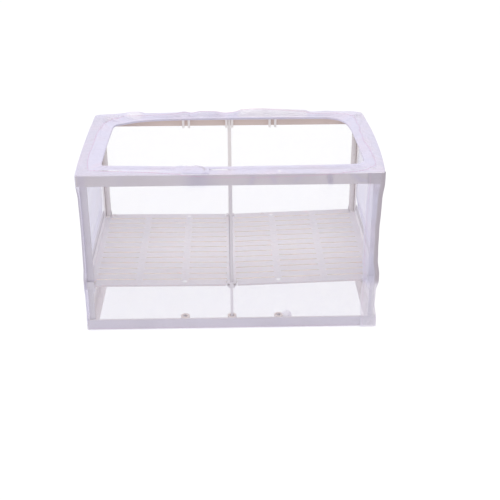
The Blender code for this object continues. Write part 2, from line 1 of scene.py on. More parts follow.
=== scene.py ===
"""Dressed model of a fish nursery net: a push-fit plastic frame inside a sheer net bag.

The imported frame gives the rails, posts and tray. The bag's walls, floor, seam band and folded rim are
made here as stretched and gathered cloth, with the elastic inside the rim's hem and the sewing thread.
Lengths are metres, +Z is up and the front is at -Y.
"""

import logging
import math
from collections.abc import Iterable, Sequence
from dataclasses import dataclass
from enum import Enum

import bpy
from mathutils import Euler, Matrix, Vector, noise


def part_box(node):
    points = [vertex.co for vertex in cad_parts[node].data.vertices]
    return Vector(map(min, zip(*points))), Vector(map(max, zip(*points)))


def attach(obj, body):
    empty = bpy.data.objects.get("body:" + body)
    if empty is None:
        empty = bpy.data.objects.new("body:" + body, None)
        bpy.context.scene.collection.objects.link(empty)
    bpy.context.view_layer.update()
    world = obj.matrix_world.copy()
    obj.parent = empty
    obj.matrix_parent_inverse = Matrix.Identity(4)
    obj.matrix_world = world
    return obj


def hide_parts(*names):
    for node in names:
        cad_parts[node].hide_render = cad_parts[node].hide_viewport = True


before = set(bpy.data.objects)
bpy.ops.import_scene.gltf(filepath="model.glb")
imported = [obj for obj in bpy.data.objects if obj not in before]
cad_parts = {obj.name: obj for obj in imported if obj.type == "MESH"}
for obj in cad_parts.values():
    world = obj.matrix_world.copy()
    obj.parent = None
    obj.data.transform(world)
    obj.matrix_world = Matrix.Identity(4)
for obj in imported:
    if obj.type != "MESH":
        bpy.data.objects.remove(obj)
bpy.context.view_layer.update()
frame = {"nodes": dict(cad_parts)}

LOG = logging.getLogger("nursery_net")
MM = 0.001
FRAME_BODY = "frame_and_net"
CLOTH_UV = "cloth"
GATHER = "gather"
# Values stored on the cloth: shade paints shade and also closes the threads' gaps, pale paints light.
SHADE = "shade"
PALE = "pale"

Triple = tuple[float, float, float]
Tone = Triple
Pair = tuple[float, float]
Table = tuple[Pair, ...]
Socket = bpy.types.NodeSocket


class Side(Enum):
    """A side of the box, in the order in which the bag's outline runs."""

    FRONT = "front"
    RIGHT = "right"
    BACK = "back"
    LEFT = "left"


class TintRule(Enum):
    """Which faces of a moulded piece take its second tone, which paints shade or light on them."""

    # Painted shade on the top rails' inner walls (tan); on the tray rails the inner walls take the tray's
    # lighter tone as painted light.
    INNER_WALL = "a rail's wall where it faces the middle of the box"
    # Painted shade: the back posts' sideways faces take a dark brown.
    RETURN_FACE = "the faces of a corner post that look sideways into the box"
    # Painted light: the tray's slot walls and upright edges, and the lip's upright faces, take a lighter
    # tone.
    SLOT_WALL = "edges and slot walls"
    NONE = "no face"


def ease(low: float, high: float, value: float) -> float:
    """Rise smoothly from 0 at low to 1 at high."""
    share = min(max((value - low) / (high - low), 0.0), 1.0)
    return share * share * (3.0 - 2.0 * share)


def blend(start: float, stop: float, share: float) -> float:
    """Mix two numbers."""
    return start + (stop - start) * share


def read_off(table: Table, place: float) -> float:
    """Read a value off a table of places and values, smoothly between its rows.

    Args:
        table: Rows of place and value, in rising order of place.
        place: Where to read.

    Returns:
        The value there, held level beyond either end.
    """
    if place <= table[0][0]:
        return table[0][1]
    for (low, first), (high, second) in zip(table, table[1:]):
        if place <= high:
            return blend(first, second, ease(low, high, place))
    return table[-1][1]


def ripple(x: float, y: float, seed: float) -> float:
    """Give smooth, repeatable noise between about -1 and 1."""
    return noise.noise(Vector((x, y, seed)))


def spaced_points(points: list[Vector], count: int) -> list[Vector]:
    """Lay evenly spaced points on a rounded line through given ones.

    Args:
        points: The points to pass through, in order.
        count: How many points to lay, the two ends among them.

    Returns:
        The evenly spaced points.
    """
    steps = 12
    fine = []
    padded = [points[0] * 2 - points[1], *points, points[-1] * 2 - points[-2]]
    for before, start, stop, after in zip(padded, padded[1:], padded[2:], padded[3:]):
        for step in range(steps):
            t = step / steps
            bend = (before * 2 - start * 5 + stop * 4 - after) * t * t
            twist = (start * 3 - before - stop * 3 + after) * t * t * t
            fine.append((start * 2 + (stop - before) * t + bend + twist) / 2)
    fine.append(points[-1].copy())
    return even_points(fine, count)


def even_points(line: list[Vector], count: int) -> list[Vector]:
    """Lay evenly spaced points along a line of straight pieces.

    Args:
        line: The line's points.
        count: How many points to lay.

    Returns:
        The evenly spaced points.
    """
    runs = [0.0]
    for start, stop in zip(line, line[1:]):
        runs.append(runs[-1] + (stop - start).length)
    placed = []
    piece = 0
    for step in range(count):
        target = runs[-1] * step / (count - 1)
        while piece < len(line) - 2 and runs[piece + 1] < target:
            piece += 1
        span = max(runs[piece + 1] - runs[piece], 1e-9)
        placed.append(line[piece].lerp(line[piece + 1], min((target - runs[piece]) / span, 1.0)))
    return placed


@dataclass(frozen=True)
class PlanPoint:
    """One place on the bag's outline, seen from above."""

    x: float
    y: float
    side: Side
    share: float
    run: float


@dataclass
class BagOutline:
    """The line of the bag's walls in plan, and how the cloth is drawn in between the rails."""

    half_width: float = 129.7 * MM
    half_depth: float = 77.2 * MM
    corner_radius: float = 2.0 * MM
    corner_steps: int = 4
    left_draw: Table = (
        (0.010, -0.0004), (0.017, -0.0001), (0.036, -0.0001), (0.041, -0.0005), (0.050, -0.0004),
        (0.062, 0.0004), (0.100, 0.0008), (0.128, 0.0006), (0.140, -0.0003),
    )
    right_draw: Table = (
        (0.002, 0.0003), (0.009, 0.0004), (0.0115, 0.0006), (0.014, 0.0014), (0.023, 0.0022),
        (0.036, 0.0019), (0.046, 0.0), (0.053, 0.0), (0.066, 0.0018), (0.095, 0.0021), (0.125, 0.0012),
        (0.139, 0.0),
    )
    post_draw: Table = (
        (0.010, 0.0), (0.018, 0.0008), (0.036, 0.0008), (0.042, 0.0), (0.050, 0.0),
        (0.062, 0.0011), (0.125, 0.0012), (0.140, 0.0),
    )
    span_draw: Table = ((0.010, 0.0), (0.035, 0.0004), (0.075, 0.0008), (0.118, 0.0005), (0.140, 0.0))
    post_reach: float = 26.0 * MM
    swell: tuple[tuple[Side, float], ...] = (
        (Side.RIGHT, 3.5 * MM), (Side.LEFT, 1.5 * MM), (Side.BACK, 0.9 * MM),
    )
    bend: float = 5.0

    def points(self, long_count: int, short_count: int) -> list[PlanPoint]:
        """Lay the outline's points, round from the front left corner past the front.

        Args:
            long_count: Points on each long straight.
            short_count: Points on each short straight.

        Returns:
            The points of the closed outline, the first one not repeated.
        """
        core_x = self.half_width - self.corner_radius
        core_y = self.half_depth - self.corner_radius
        straights = (
            (Side.FRONT, (-core_x, -self.half_depth), (core_x, -self.half_depth), long_count),
            (Side.RIGHT, (self.half_width, -core_y), (self.half_width, core_y), short_count),
            (Side.BACK, (core_x, self.half_depth), (-core_x, self.half_depth), long_count),
            (Side.LEFT, (-self.half_width, core_y), (-self.half_width, -core_y), short_count),
        )
        corners = ((core_x, -core_y), (core_x, core_y), (-core_x, core_y), (-core_x, -core_y))
        made: list[PlanPoint] = []
        run = 0.0
        last = Vector(straights[0][1])
        for turn, ((side, start, stop, count), corner) in enumerate(zip(straights, corners)):
            places = [
                (Vector(start).lerp(Vector(stop), step / (count - 1)), side, step / (count - 1))
                for step in range(count)
            ]
            for step in range(1, self.corner_steps):
                angle = math.pi / 2 * (turn - 1 + step / self.corner_steps)
                arm = Vector((math.cos(angle), math.sin(angle))) * self.corner_radius
                places.append((Vector(corner) + arm, side, 1.0))
            for place, side_here, share in places:
                run += (place - last).length
                last = place
                made.append(PlanPoint(place.x, place.y, side_here, share, run))
        return made

    def girth(self) -> float:
        """Give the length once round the outline."""
        straight = 4 * (self.half_width + self.half_depth - 2 * self.corner_radius)
        return straight + 2 * math.pi * self.corner_radius

    def draw_x(self, x: float, y: float, z: float) -> float:
        """Give how far a side wall is drawn in at a height."""
        side, table = (Side.LEFT, self.left_draw) if x < 0 else (Side.RIGHT, self.right_draw)
        return read_off(table, z) - self.swelling(side, y / self.half_depth, z)

    def draw_y(self, x: float, y: float, z: float) -> float:
        """Give how far the front or back wall is drawn in.

        Args:
            x: The place along the wall.
            y: Which wall, the back one where it is above 0.
            z: The height.

        Returns:
            The distance inwards.
        """
        near_post = 1.0 - ease(0.0, self.post_reach, self.half_width - abs(x))
        inward = blend(read_off(self.span_draw, z), read_off(self.post_draw, z), near_post)
        if y > 0:
            inward -= self.swelling(Side.BACK, x / self.half_width, z)
        return inward

    def swelling(self, side: Side, share: float, z: float) -> float:
        """Give how far slack cloth stands out over a top rail.

        Args:
            side: The side of the box.
            share: The place along that side, from -1 to 1.
            z: The height.

        Returns:
            The distance outwards.
        """
        most = dict(self.swell).get(side, 0.0)
        along = max(1.0 - abs(share) ** 2.2, 0.0)
        return most * along * ease(0.122, 0.147, z)

    def place(self, point: PlanPoint, z: float, proud: float = 0.0) -> Vector:
        """Give the cloth's place at a plan point and height.

        Args:
            point: The place on the outline.
            z: The height.
            proud: How far outside the cloth to be.

        Returns:
            The place in space.
        """
        share_x = abs(point.x) / self.half_width
        share_y = abs(point.y) / self.half_depth
        inward_x = self.draw_x(point.x, point.y, z) - proud
        inward_y = self.draw_y(point.x, point.y, z) - proud
        x = point.x - math.copysign(share_x**self.bend, point.x) * inward_x
        y = point.y - math.copysign(share_y**self.bend, point.y) * inward_y
        return Vector((x, y, z))


def add_object(name: str, data: bpy.types.ID) -> bpy.types.Object:
    """Make an object and link it to the scene.

    Args:
        name: The object's name.
        data: Its mesh, curve, light or camera.

    Returns:
        The object.
    """
    obj = bpy.data.objects.new(name, data)
    bpy.context.scene.collection.objects.link(obj)
    return obj


def cloth_mesh(
    name: str, rows: list[list[Vector]], marks: list[list[Pair]], closed: bool
) -> bpy.types.Object:
    """Make one open sheet from rows of points.

    Args:
        name: The piece's name.
        rows: Rows of points, each as long as the others, from the sheet's first edge to its last.
        marks: For each point its flat place on the cloth, in metres.
        closed: Whether each row joins up with its own start.

    Returns:
        The sheet's object, linked to the scene, its faces turned to the right of its rows.
    """
    count = len(rows[0])
    verts = [tuple(point) for row in rows for point in row]
    faces = []
    flats = []
    wrap = marks[0][-1][0] + (marks[0][-1][0] - marks[0][-2][0])
    for row in range(len(rows) - 1):
        low, high = row * count, (row + 1) * count
        near, far = marks[row], marks[row + 1]
        for column in range(count if closed else count - 1):
            following = (column + 1) % count
            faces.append((low + column, low + following, high + following, high + column))
            last_u = wrap if following == 0 else near[following][0]
            flats.extend((near[column], (last_u, near[following][1])))
            flats.extend(((last_u, far[following][1]), far[column]))
    mesh = bpy.data.meshes.new(name)
    mesh.from_pydata(verts, [], faces)
    layer = mesh.uv_layers.new(name=CLOTH_UV)
    layer.data.foreach_set("uv", [value for flat in flats for value in flat])
    mesh.shade_smooth()
    mesh.update()
    return add_object(name, mesh)


def paint(obj: bpy.types.Object, label: str, values: Sequence[float]) -> None:
    """Store a value for each point of the cloth, such as how closely it is gathered."""
    layer = obj.data.attributes.new(label, "FLOAT", "POINT")
    layer.data.foreach_set("value", values)


class NodeTree:
    """A tree of nodes, with short calls to add and join them."""

    def __init__(self, tree: bpy.types.NodeTree) -> None:
        """Take Blender's own tree."""
        self.nodes = tree.nodes
        self.links = tree.links

    def add(
        self, kind: str, inputs: dict[str | int, object] | None = None, **settings: object
    ) -> bpy.types.Node:
        """Add a node.

        Args:
            kind: Blender's name of the node.
            inputs: Outputs or values for its inputs, by label or number.
            settings: Values for its properties.

        Returns:
            The node.
        """
        node = self.nodes.new(kind)
        for key, value in settings.items():
            setattr(node, key, value)
        for key, value in (inputs or {}).items():
            self.feed(node.inputs[key], value)
        return node

    def feed(self, socket: Socket, value: object) -> None:
        """Join an output to a socket, or set the socket's own value.

        Args:
            socket: The input.
            value: The output or the value.
        """
        if isinstance(value, Socket):
            self.links.new(value, socket)
        else:
            socket.default_value = value

    def math(self, operation: str, *values: object, clamp: bool = False) -> Socket:
        """Add a Math node and return its output, held between 0 and 1 where clamp says so."""
        node = self.add("ShaderNodeMath", dict(enumerate(values)), operation=operation, use_clamp=clamp)
        return node.outputs[0]


class ShaderTree(NodeTree):
    """A material's nodes."""

    def __init__(self, name: str) -> None:
        """Start a material with only its Principled shader and output.

        Args:
            name: The material's name.
        """
        self.material = bpy.data.materials.new(name)
        self.material.use_nodes = True
        super().__init__(self.material.node_tree)

    def dress(self, values: dict[str, object]) -> bpy.types.Material:
        """Feed the Principled shader.

        Args:
            values: Outputs or values for its inputs, by label.

        Returns:
            The material.
        """
        for label, value in values.items():
            self.feed(self.nodes["Principled BSDF"].inputs[label], value)
        return self.material

    def mix(self, share: object, first: Tone | Socket, second: Tone | Socket) -> Socket:
        """Mix two colours and return the output."""
        first, second = ((*tone, 1.0) if isinstance(tone, tuple) else tone for tone in (first, second))
        return self.add("ShaderNodeMix", {0: share, 6: first, 7: second}, data_type="RGBA").outputs[2]

    def remap(self, *values: object) -> Socket:
        """Map a value from the range between two numbers onto another one, smoothly and held at its ends."""
        inputs = dict(enumerate(values))
        return self.add("ShaderNodeMapRange", inputs, interpolation_type="SMOOTHSTEP").outputs[0]

    def noise(self, place: Socket, scale: float, detail: float = 2.0) -> Socket:
        """Add a Noise node and return its value."""
        return self.add("ShaderNodeTexNoise", {"Vector": place, "Scale": scale, "Detail": detail}).outputs[0]

    def bump(self, height: Socket, depth: float, strength: float, **more: Socket) -> Socket:
        """Add a Bump node and return its normal."""
        inputs = {"Height": height, "Distance": depth, "Strength": strength, **more}
        return self.add("ShaderNodeBump", inputs).outputs[0]

    def split(self, vector: Socket) -> bpy.types.NodeOutputs:
        """Give a vector's three parts."""
        return self.add("ShaderNodeSeparateXYZ", {0: vector}).outputs

    def object_place(self) -> Socket:
        """Give the place on the object, in metres."""
        return self.add("ShaderNodeTexCoord").outputs["Object"]

    def normal(self) -> Socket:
        """Give the surface's normal."""
        return self.add("ShaderNodeNewGeometry").outputs["Normal"]

    def painted(self, label: str) -> Socket:
        """Give a value that is stored for each point of the cloth."""
        return self.add("ShaderNodeAttribute", attribute_name=label).outputs["Fac"]


@dataclass(frozen=True)
class MouldedPlastic:
    """Finish of the injection-moulded frame and tray."""

    name: str
    tone: Tone
    # Painted shade or light on the faces that the rule picks.
    second_tone: Tone
    rule: TintRule
    # Painted shade: the tone of the faces turned out of the box, darker than the piece's own on most pieces.
    outward_shade_tone: Tone | None = None
    # Painted light: a lighter tone above or below a height, for the sockets' tops and the prongs' ends.
    tip: tuple[Tone, float, float] | None = None
    glow_depth: float = 0.0
    flow_marks: float = 0.06
    waviness: float = 0.18
    roughness: float = 0.42
    edge_round: float = 0.35 * MM
    wall_x: float = 126.2 * MM
    wall_y: float = 74.0 * MM
    post_x: float = 110.0 * MM

    def material(self) -> bpy.types.Material:
        """Build the finish's material.

        Returns:
            A satin plastic with faint flow marks, small specks and rounded edges, with shade and light
            painted in by its second, outward and tip tones.
        """
        tree = ShaderTree(self.name)
        place = tree.object_place()
        # Painted shade or light from the second tone.
        tone = tree.mix(self.second_share(tree, place), self.tone, self.second_tone)
        # Painted shade on the faces turned out of the box.
        if self.outward_shade_tone:
            tone = tree.mix(self.wall_share(tree, place, 1.0), tone, self.outward_shade_tone)
        # Painted light on the prongs' ends and the sockets' tops.
        if self.tip:
            tip_tone, start, full = self.tip
            tone = tree.mix(tree.remap(tree.split(place)[2], start, full, 0.0, 1.0), tone, tip_tone)
        flow = tree.remap(tree.noise(place, 34.0, 3.0), 0.35, 0.7, 0.0, self.flow_marks)
        tone = tree.mix(flow, tone, (0.10, 0.08, 0.10))
        speck = tree.remap(tree.noise(place, 420.0, 1.0), 0.74, 0.78, 0.0, 0.35)
        tone = tree.mix(speck, tone, (0.34, 0.27, 0.25))
        patches = tree.noise(place, 90.0, 3.0)
        rough = tree.remap(patches, 0.3, 0.7, self.roughness - 0.06, self.roughness + 0.1)
        rounded = tree.add("ShaderNodeBevel", {"Radius": self.edge_round}, samples=4).outputs[0]
        grain = tree.bump(tree.noise(place, 1400.0), 0.00003, 0.5, Normal=rounded)
        waves = tree.bump(tree.noise(place, 60.0), 0.0004, self.waviness, Normal=grain)
        if self.glow_depth:
            tree.dress({"Subsurface Weight": 0.4, "Subsurface Radius": (1.0, 0.8, 0.75)})
            tree.dress({"Subsurface Scale": self.glow_depth})
        return tree.dress({"Base Color": tone, "Roughness": rough, "Normal": waves, "IOR": 1.49})

    def second_share(self, tree: ShaderTree, place: Socket) -> Socket | float:
        """Build the share of the second tone, which paints shade or light on the faces that the rule picks.

        Args:
            tree: The material's nodes.
            place: The place on the object.

        Returns:
            The output that is 1 on the faces that the rule picks.
        """
        if self.rule is TintRule.NONE:
            return 0.0
        if self.rule is TintRule.INNER_WALL:
            return self.wall_share(tree, place, -1.0)
        facing = tree.split(tree.normal())
        if self.rule is TintRule.SLOT_WALL:
            return tree.remap(tree.math("ABSOLUTE", facing[2]), 0.35, 0.75, 1.0, 0.0)
        pushed = tree.math("MULTIPLY", facing[0], tree.split(place)[0])
        return tree.remap(pushed, -self.post_x, -self.post_x * 0.8, 1.0, 0.0)

    def wall_share(self, tree: ShaderTree, place: Socket, outward: float) -> Socket:
        """Build the share that is 1 on the box's outer walls, on the side that is asked for, where a tone
        paints shade or light.

        Args:
            tree: The material's nodes.
            place: The place on the object.
            outward: 1 for faces turned out of the box, -1 for those turned into it.

        Returns:
            The output that is 1 on those faces.
        """
        both = {0: place, 1: tree.normal()}
        pushed = tree.split(tree.add("ShaderNodeVectorMath", both, operation="MULTIPLY").outputs[0])
        shares = []
        for axis, wall in ((0, self.wall_x), (1, self.wall_y)):
            turned = tree.math("MULTIPLY", pushed[axis], outward)
            shares.append(tree.remap(turned, wall - 1.0 * MM, wall, 0.0, 1.0))
        return tree.math("MAXIMUM", *shares)


@dataclass(frozen=True)
class SheerNet:
    """Finish of fine net cloth: threads with open gaps, closer together where it is gathered, with shade and
    light painted where the cloth is marked for them.
    """

    name: str
    tone: Tone
    warm_tone: Tone
    # Painted shade tone for the marked folds, corners and strips.
    painted_shade_tone: Tone
    cover: float
    gathered_cover: float
    pitch: float = 0.9 * MM
    slant_growth: float = 1.7
    patchiness: float = 0.12
    most_cover: float = 0.97
    # Painted light tone for the marked highlights and lit parts.
    painted_light_tone: Tone = (0.97, 0.93, 1.0)

    def material(self) -> bpy.types.Material:
        """Build the finish's material.

        Returns:
            Net whose threads cover the finish's share of it when seen square on, and more at a slant.
        """
        tree = ShaderTree(self.name)
        flat = tree.add("ShaderNodeUVMap", uv_map=CLOTH_UV).outputs[0]
        wavy = tree.add("ShaderNodeTexNoise", {"Vector": flat, "Scale": 160.0}).outputs["Color"]
        reach = {0: wavy, "Scale": self.pitch * 0.6}
        shift = tree.add("ShaderNodeVectorMath", reach, operation="SCALE").outputs[0]
        moved = tree.add("ShaderNodeVectorMath", {0: flat, 1: shift}, operation="ADD").outputs[0]
        along = tree.split(moved)
        cover = self.cover_here(tree, flat)
        edge = tree.math("MULTIPLY", tree.math("SQRT", tree.math("SUBTRACT", 1.0, cover)), 0.5)
        weave = tree.math("MAXIMUM", *[self.thread_rows(tree, along[axis], edge) for axis in (0, 1)])
        open_part = tree.math("SUBTRACT", 1.0, weave)
        alpha = tree.math("SUBTRACT", 1.0, tree.math("MULTIPLY", open_part, self.slant(tree, cover)))
        tone = tree.remap(tree.noise(flat, 45.0, 3.0), 0.4, 0.68, 0.0, 0.8)
        tone = tree.mix(tone, self.tone, self.warm_tone)
        # Painted shade, then painted light, where the cloth is marked for them.
        tone = tree.mix(tree.painted(SHADE), tone, self.painted_shade_tone)
        tone = tree.mix(tree.painted(PALE), tone, self.painted_light_tone)
        tree.dress({"Roughness": 0.75, "Sheen Weight": 0.06, "Sheen Roughness": 0.45})
        return tree.dress({"Base Color": tone, "Alpha": alpha, "Normal": tree.bump(weave, 0.00004, 0.35)})

    def cover_here(self, tree: ShaderTree, flat: Socket) -> Socket:
        """Build the share that thread covers, which varies a little and grows where the cloth is gathered.

        Args:
            tree: The material's nodes.
            flat: The place on the flat cloth.

        Returns:
            The output that holds the share.
        """
        least, most = 1.0 - self.patchiness, 1.0 + self.patchiness
        patchy = tree.remap(tree.noise(flat, 70.0, 4.0), 0.3, 0.7, least, most)
        extra = tree.math("MULTIPLY", tree.painted(GATHER), self.gathered_cover - self.cover)
        cover = tree.math("MULTIPLY", tree.math("ADD", extra, self.cover), patchy)
        dense = tree.math("MULTIPLY", tree.painted(SHADE), tree.math("SUBTRACT", self.most_cover, cover))
        held = tree.math("MINIMUM", tree.math("ADD", cover, dense), self.most_cover)
        return tree.math("MAXIMUM", held, 0.0)

    def thread_rows(self, tree: ShaderTree, along: Socket, edge: Socket) -> Socket:
        """Build parallel threads across one direction.

        Args:
            tree: The material's nodes.
            along: The place along that direction, in metres.
            edge: The half width of the gap between threads, as a share of their spacing.

        Returns:
            The output that is 1 on a thread and 0 in a gap.
        """
        step = tree.math("FRACT", tree.math("DIVIDE", along, self.pitch))
        off_middle = tree.math("ABSOLUTE", tree.math("SUBTRACT", step, 0.5))
        return tree.math("MULTIPLY", tree.math("SUBTRACT", off_middle, edge), 60.0, clamp=True)

    def slant(self, tree: ShaderTree, cover: Socket) -> Socket:
        """Build the share of light that still passes round the threads' thickness at a slant.

        Args:
            tree: The material's nodes.
            cover: The share that thread covers.

        Returns:
            The output that holds the share.
        """
        facing = tree.add("ShaderNodeLayerWeight", {"Blend": 0.5}).outputs["Facing"]
        cosine = tree.math("MAXIMUM", tree.math("SUBTRACT", 1.0, facing), 0.04)
        extra = tree.math("SUBTRACT", tree.math("DIVIDE", 1.0, cosine), 1.0)
        growth = tree.math("MULTIPLY", extra, self.slant_growth)
        return tree.math("POWER", tree.math("SUBTRACT", 1.0, cover), growth)


@dataclass(frozen=True)
class TwistedThread:
    """Finish of sewing thread and of the elastic's covering."""

    name: str
    tone: Tone
    painted_shade_tone: Tone
    twist: float = 0.5 * MM

    def material(self) -> bpy.types.Material:
        """Build the finish's material.

        Returns:
            Matt thread with its plies as slanted bands, darker in the grooves between them as painted shade.
        """
        tree = ShaderTree(self.name)
        scale = 1.0 / self.twist / 3.0
        inputs = {"Vector": tree.object_place(), "Scale": scale, "Distortion": 1.5}
        kind = {"wave_type": "BANDS", "bands_direction": "DIAGONAL"}
        bands = tree.add("ShaderNodeTexWave", inputs, **kind).outputs["Fac"]
        # Painted shade: the bands' low grooves take the darker tone.
        tree.dress({"Base Color": tree.mix(bands, self.painted_shade_tone, self.tone), "Roughness": 0.65})
        return tree.dress({"Normal": tree.bump(bands, 0.0001, 0.6), "Sheen Weight": 0.2})


class PathTree(NodeTree):
    """A Geometry Nodes tree that makes pieces along a curve."""

    def __init__(self, name: str) -> None:
        """Start the tree with a curve that comes in and a mesh that goes out.

        Args:
            name: The tree's name.
        """
        self.tree = bpy.data.node_groups.new(name, "GeometryNodeTree")
        super().__init__(self.tree)
        for way in ("INPUT", "OUTPUT"):
            self.tree.interface.new_socket("Geometry", in_out=way, socket_type="NodeSocketGeometry")
        self.start = self.add("NodeGroupInput")
        self.stop = self.add("NodeGroupOutput")
        self.values: dict[str, object] = {}

    def ask(self, label: str, value: object, kind: str = "Float") -> Socket:
        """Add a named input and remember its value.

        Args:
            label: The input's name.
            value: The value to give it.
            kind: What it carries.

        Returns:
            The output that carries the input inside the tree.
        """
        socket_type = "NodeSocket" + kind
        item = self.tree.interface.new_socket(label, in_out="INPUT", socket_type=socket_type)
        self.values[item.identifier] = value
        return self.start.outputs[label]

    def spread(self, label: str, step: float) -> Socket:
        """Space points evenly along the curve, a named input's value apart.

        Args:
            label: The input's name.
            step: The distance between points.

        Returns:
            The output that holds the spaced curve.
        """
        length = self.ask(label, step)
        inputs = {"Curve": self.start.outputs[0], "Length": length}
        return self.add("GeometryNodeResampleCurve", inputs, mode="LENGTH").outputs[0]

    def finish(self, geometry: Socket, material: bpy.types.Material) -> None:
        """Realize the instances, set their material and send them out.

        Args:
            geometry: The instances or the mesh.
            material: Its material.
        """
        solid = self.add("GeometryNodeRealizeInstances", {0: geometry}).outputs[0]
        inputs = {"Geometry": solid, "Material": self.ask("Finish", material, "Material")}
        self.feed(self.stop.inputs[0], self.add("GeometryNodeSetMaterial", inputs).outputs[0])

    def grow(self, name: str, points: list[Vector], closed: bool) -> bpy.types.Object:
        """Run the tree along a line and keep the result as a plain mesh.

        Args:
            name: The piece's name.
            points: The line's points.
            closed: Whether the line joins up with its start.

        Returns:
            The piece's object.
        """
        curve = bpy.data.curves.new(name + "_path", "CURVE")
        curve.dimensions = "3D"
        spline = curve.splines.new("POLY")
        spline.points.add(len(points) - 1)
        for target, point in zip(spline.points, points):
            target.co = (*point, 1.0)
        spline.use_cyclic_u = closed
        holder = add_object(name + "_path", curve)
        modifier = holder.modifiers.new("along", "NODES")
        modifier.node_group = self.tree
        for identifier, value in self.values.items():
            modifier[identifier] = value
        bpy.context.view_layer.update()
        shaped = holder.evaluated_get(bpy.context.evaluated_depsgraph_get())
        mesh = bpy.data.meshes.new_from_object(shaped)
        mesh.name = name
        bpy.data.objects.remove(holder)
        bpy.data.curves.remove(curve)
        bpy.data.node_groups.remove(self.tree)
        return add_object(name, mesh)


@dataclass(frozen=True)
class StitchRow:
    """A row of lock stitches along a line."""

    length: float = 2.1 * MM
    spacing: float = 2.9 * MM
    thickness: float = 0.42 * MM
    lean: float = 0.12
    seed: int = 4

    def sew(
        self, name: str, points: list[Vector], thread: bpy.types.Material, closed: bool
    ) -> bpy.types.Object:
        """Make the row's stitches.

        Args:
            name: The piece's name.
            points: The line to sew along.
            thread: The thread's material.
            closed: Whether the line joins up with its start.

        Returns:
            The stitches' object.
        """
        path = PathTree(name + "_stitches")
        spread = path.spread("Spacing", self.spacing)
        stitch = path.add("GeometryNodeMeshUVSphere", {"Segments": 6, "Rings": 4, "Radius": 0.5})
        size = path.add("ShaderNodeCombineXYZ", {0: path.ask("Length", self.length)})
        thick = path.ask("Thickness", self.thickness)
        for axis in (1, 2):
            path.feed(size.inputs[axis], thick)
        inputs = {"Geometry": stitch.outputs["Mesh"], "Scale": size.outputs[0]}
        shaped = path.add("GeometryNodeTransform", inputs).outputs[0]
        tangent = path.add("GeometryNodeInputTangent").outputs[0]
        aimed = path.add("FunctionNodeAlignRotationToVector", {"Vector": tangent}, axis="X").outputs[0]
        seed = path.ask("Seed", self.seed, "Int")
        inputs = {0: (0.0, 0.0, -self.lean), 1: (0.0, 0.0, self.lean), "Seed": seed}
        lean = path.add("FunctionNodeRandomValue", inputs, data_type="FLOAT_VECTOR").outputs[0]
        inputs = {0: aimed, 1: lean}
        turned = path.add("FunctionNodeRotateRotation", inputs, rotation_space="LOCAL").outputs[0]
        inputs = {"Points": spread, "Instance": shaped, "Rotation": turned}
        path.finish(path.add("GeometryNodeInstanceOnPoints", inputs).outputs[0], thread)
        return path.grow(name, points, closed)


@dataclass(frozen=True)
class RoundCord:
    """A round cord, laid along a line."""

    radius: float = 0.75 * MM
    step: float = 1.1 * MM
    sides: int = 10

    def lay(
        self, name: str, points: list[Vector], cover: bpy.types.Material, closed: bool
    ) -> bpy.types.Object:
        """Make the cord.

        Args:
            name: The piece's name.
            points: The line that it follows.
            cover: The material of its covering.
            closed: Whether it is a loop.

        Returns:
            The cord's object.
        """
        path = PathTree(name + "_cord")
        spread = path.spread("Step", self.step)
        ring = path.add("GeometryNodeCurvePrimitiveCircle")
        path.feed(ring.inputs["Resolution"], path.ask("Sides", self.sides, "Int"))
        path.feed(ring.inputs["Radius"], path.ask("Radius", self.radius))
        inputs = {"Curve": spread, "Profile Curve": ring.outputs[0]}
        tube = path.add("GeometryNodeCurveToMesh", inputs).outputs[0]
        path.finish(path.add("GeometryNodeSetShadeSmooth", {0: tube}).outputs[0], cover)
        return path.grow(name, points, closed)


@dataclass(frozen=True)
class Crease:
    """A fold in the cloth along a straight line, with its height, painted shade, thinner cloth and painted
    light.
    """

    x: float
    y: float
    angle: float
    half_length: float
    half_width: float
    height: float = 0.0
    # Painted shade along the line.
    dark: float = 0.0
    thin: float = 0.0
    # Painted light along the line.
    pale: float = 0.0

    def share(self, x: float, y: float) -> float:
        """Give the share of the fold's full height at a place on the cloth.

        Args:
            x: The place along the cloth.
            y: The place across it.

        Returns:
            The share, 1 in the fold's middle.
        """
        turn = math.radians(self.angle)
        along = (x - self.x) * math.cos(turn) + (y - self.y) * math.sin(turn)
        across = (y - self.y) * math.cos(turn) - (x - self.x) * math.sin(turn)
        fade = 1.0 - ease(0.3, 1.0, abs(along) / self.half_length)
        return fade * math.exp(-((across / self.half_width) ** 2))


def folded(creases: Iterable[Crease], effect: str, x: float, y: float) -> float:
    """Add up one effect of the folds, such as their height, at a place on the cloth."""
    return sum(getattr(crease, effect) * crease.share(x, y) for crease in creases)


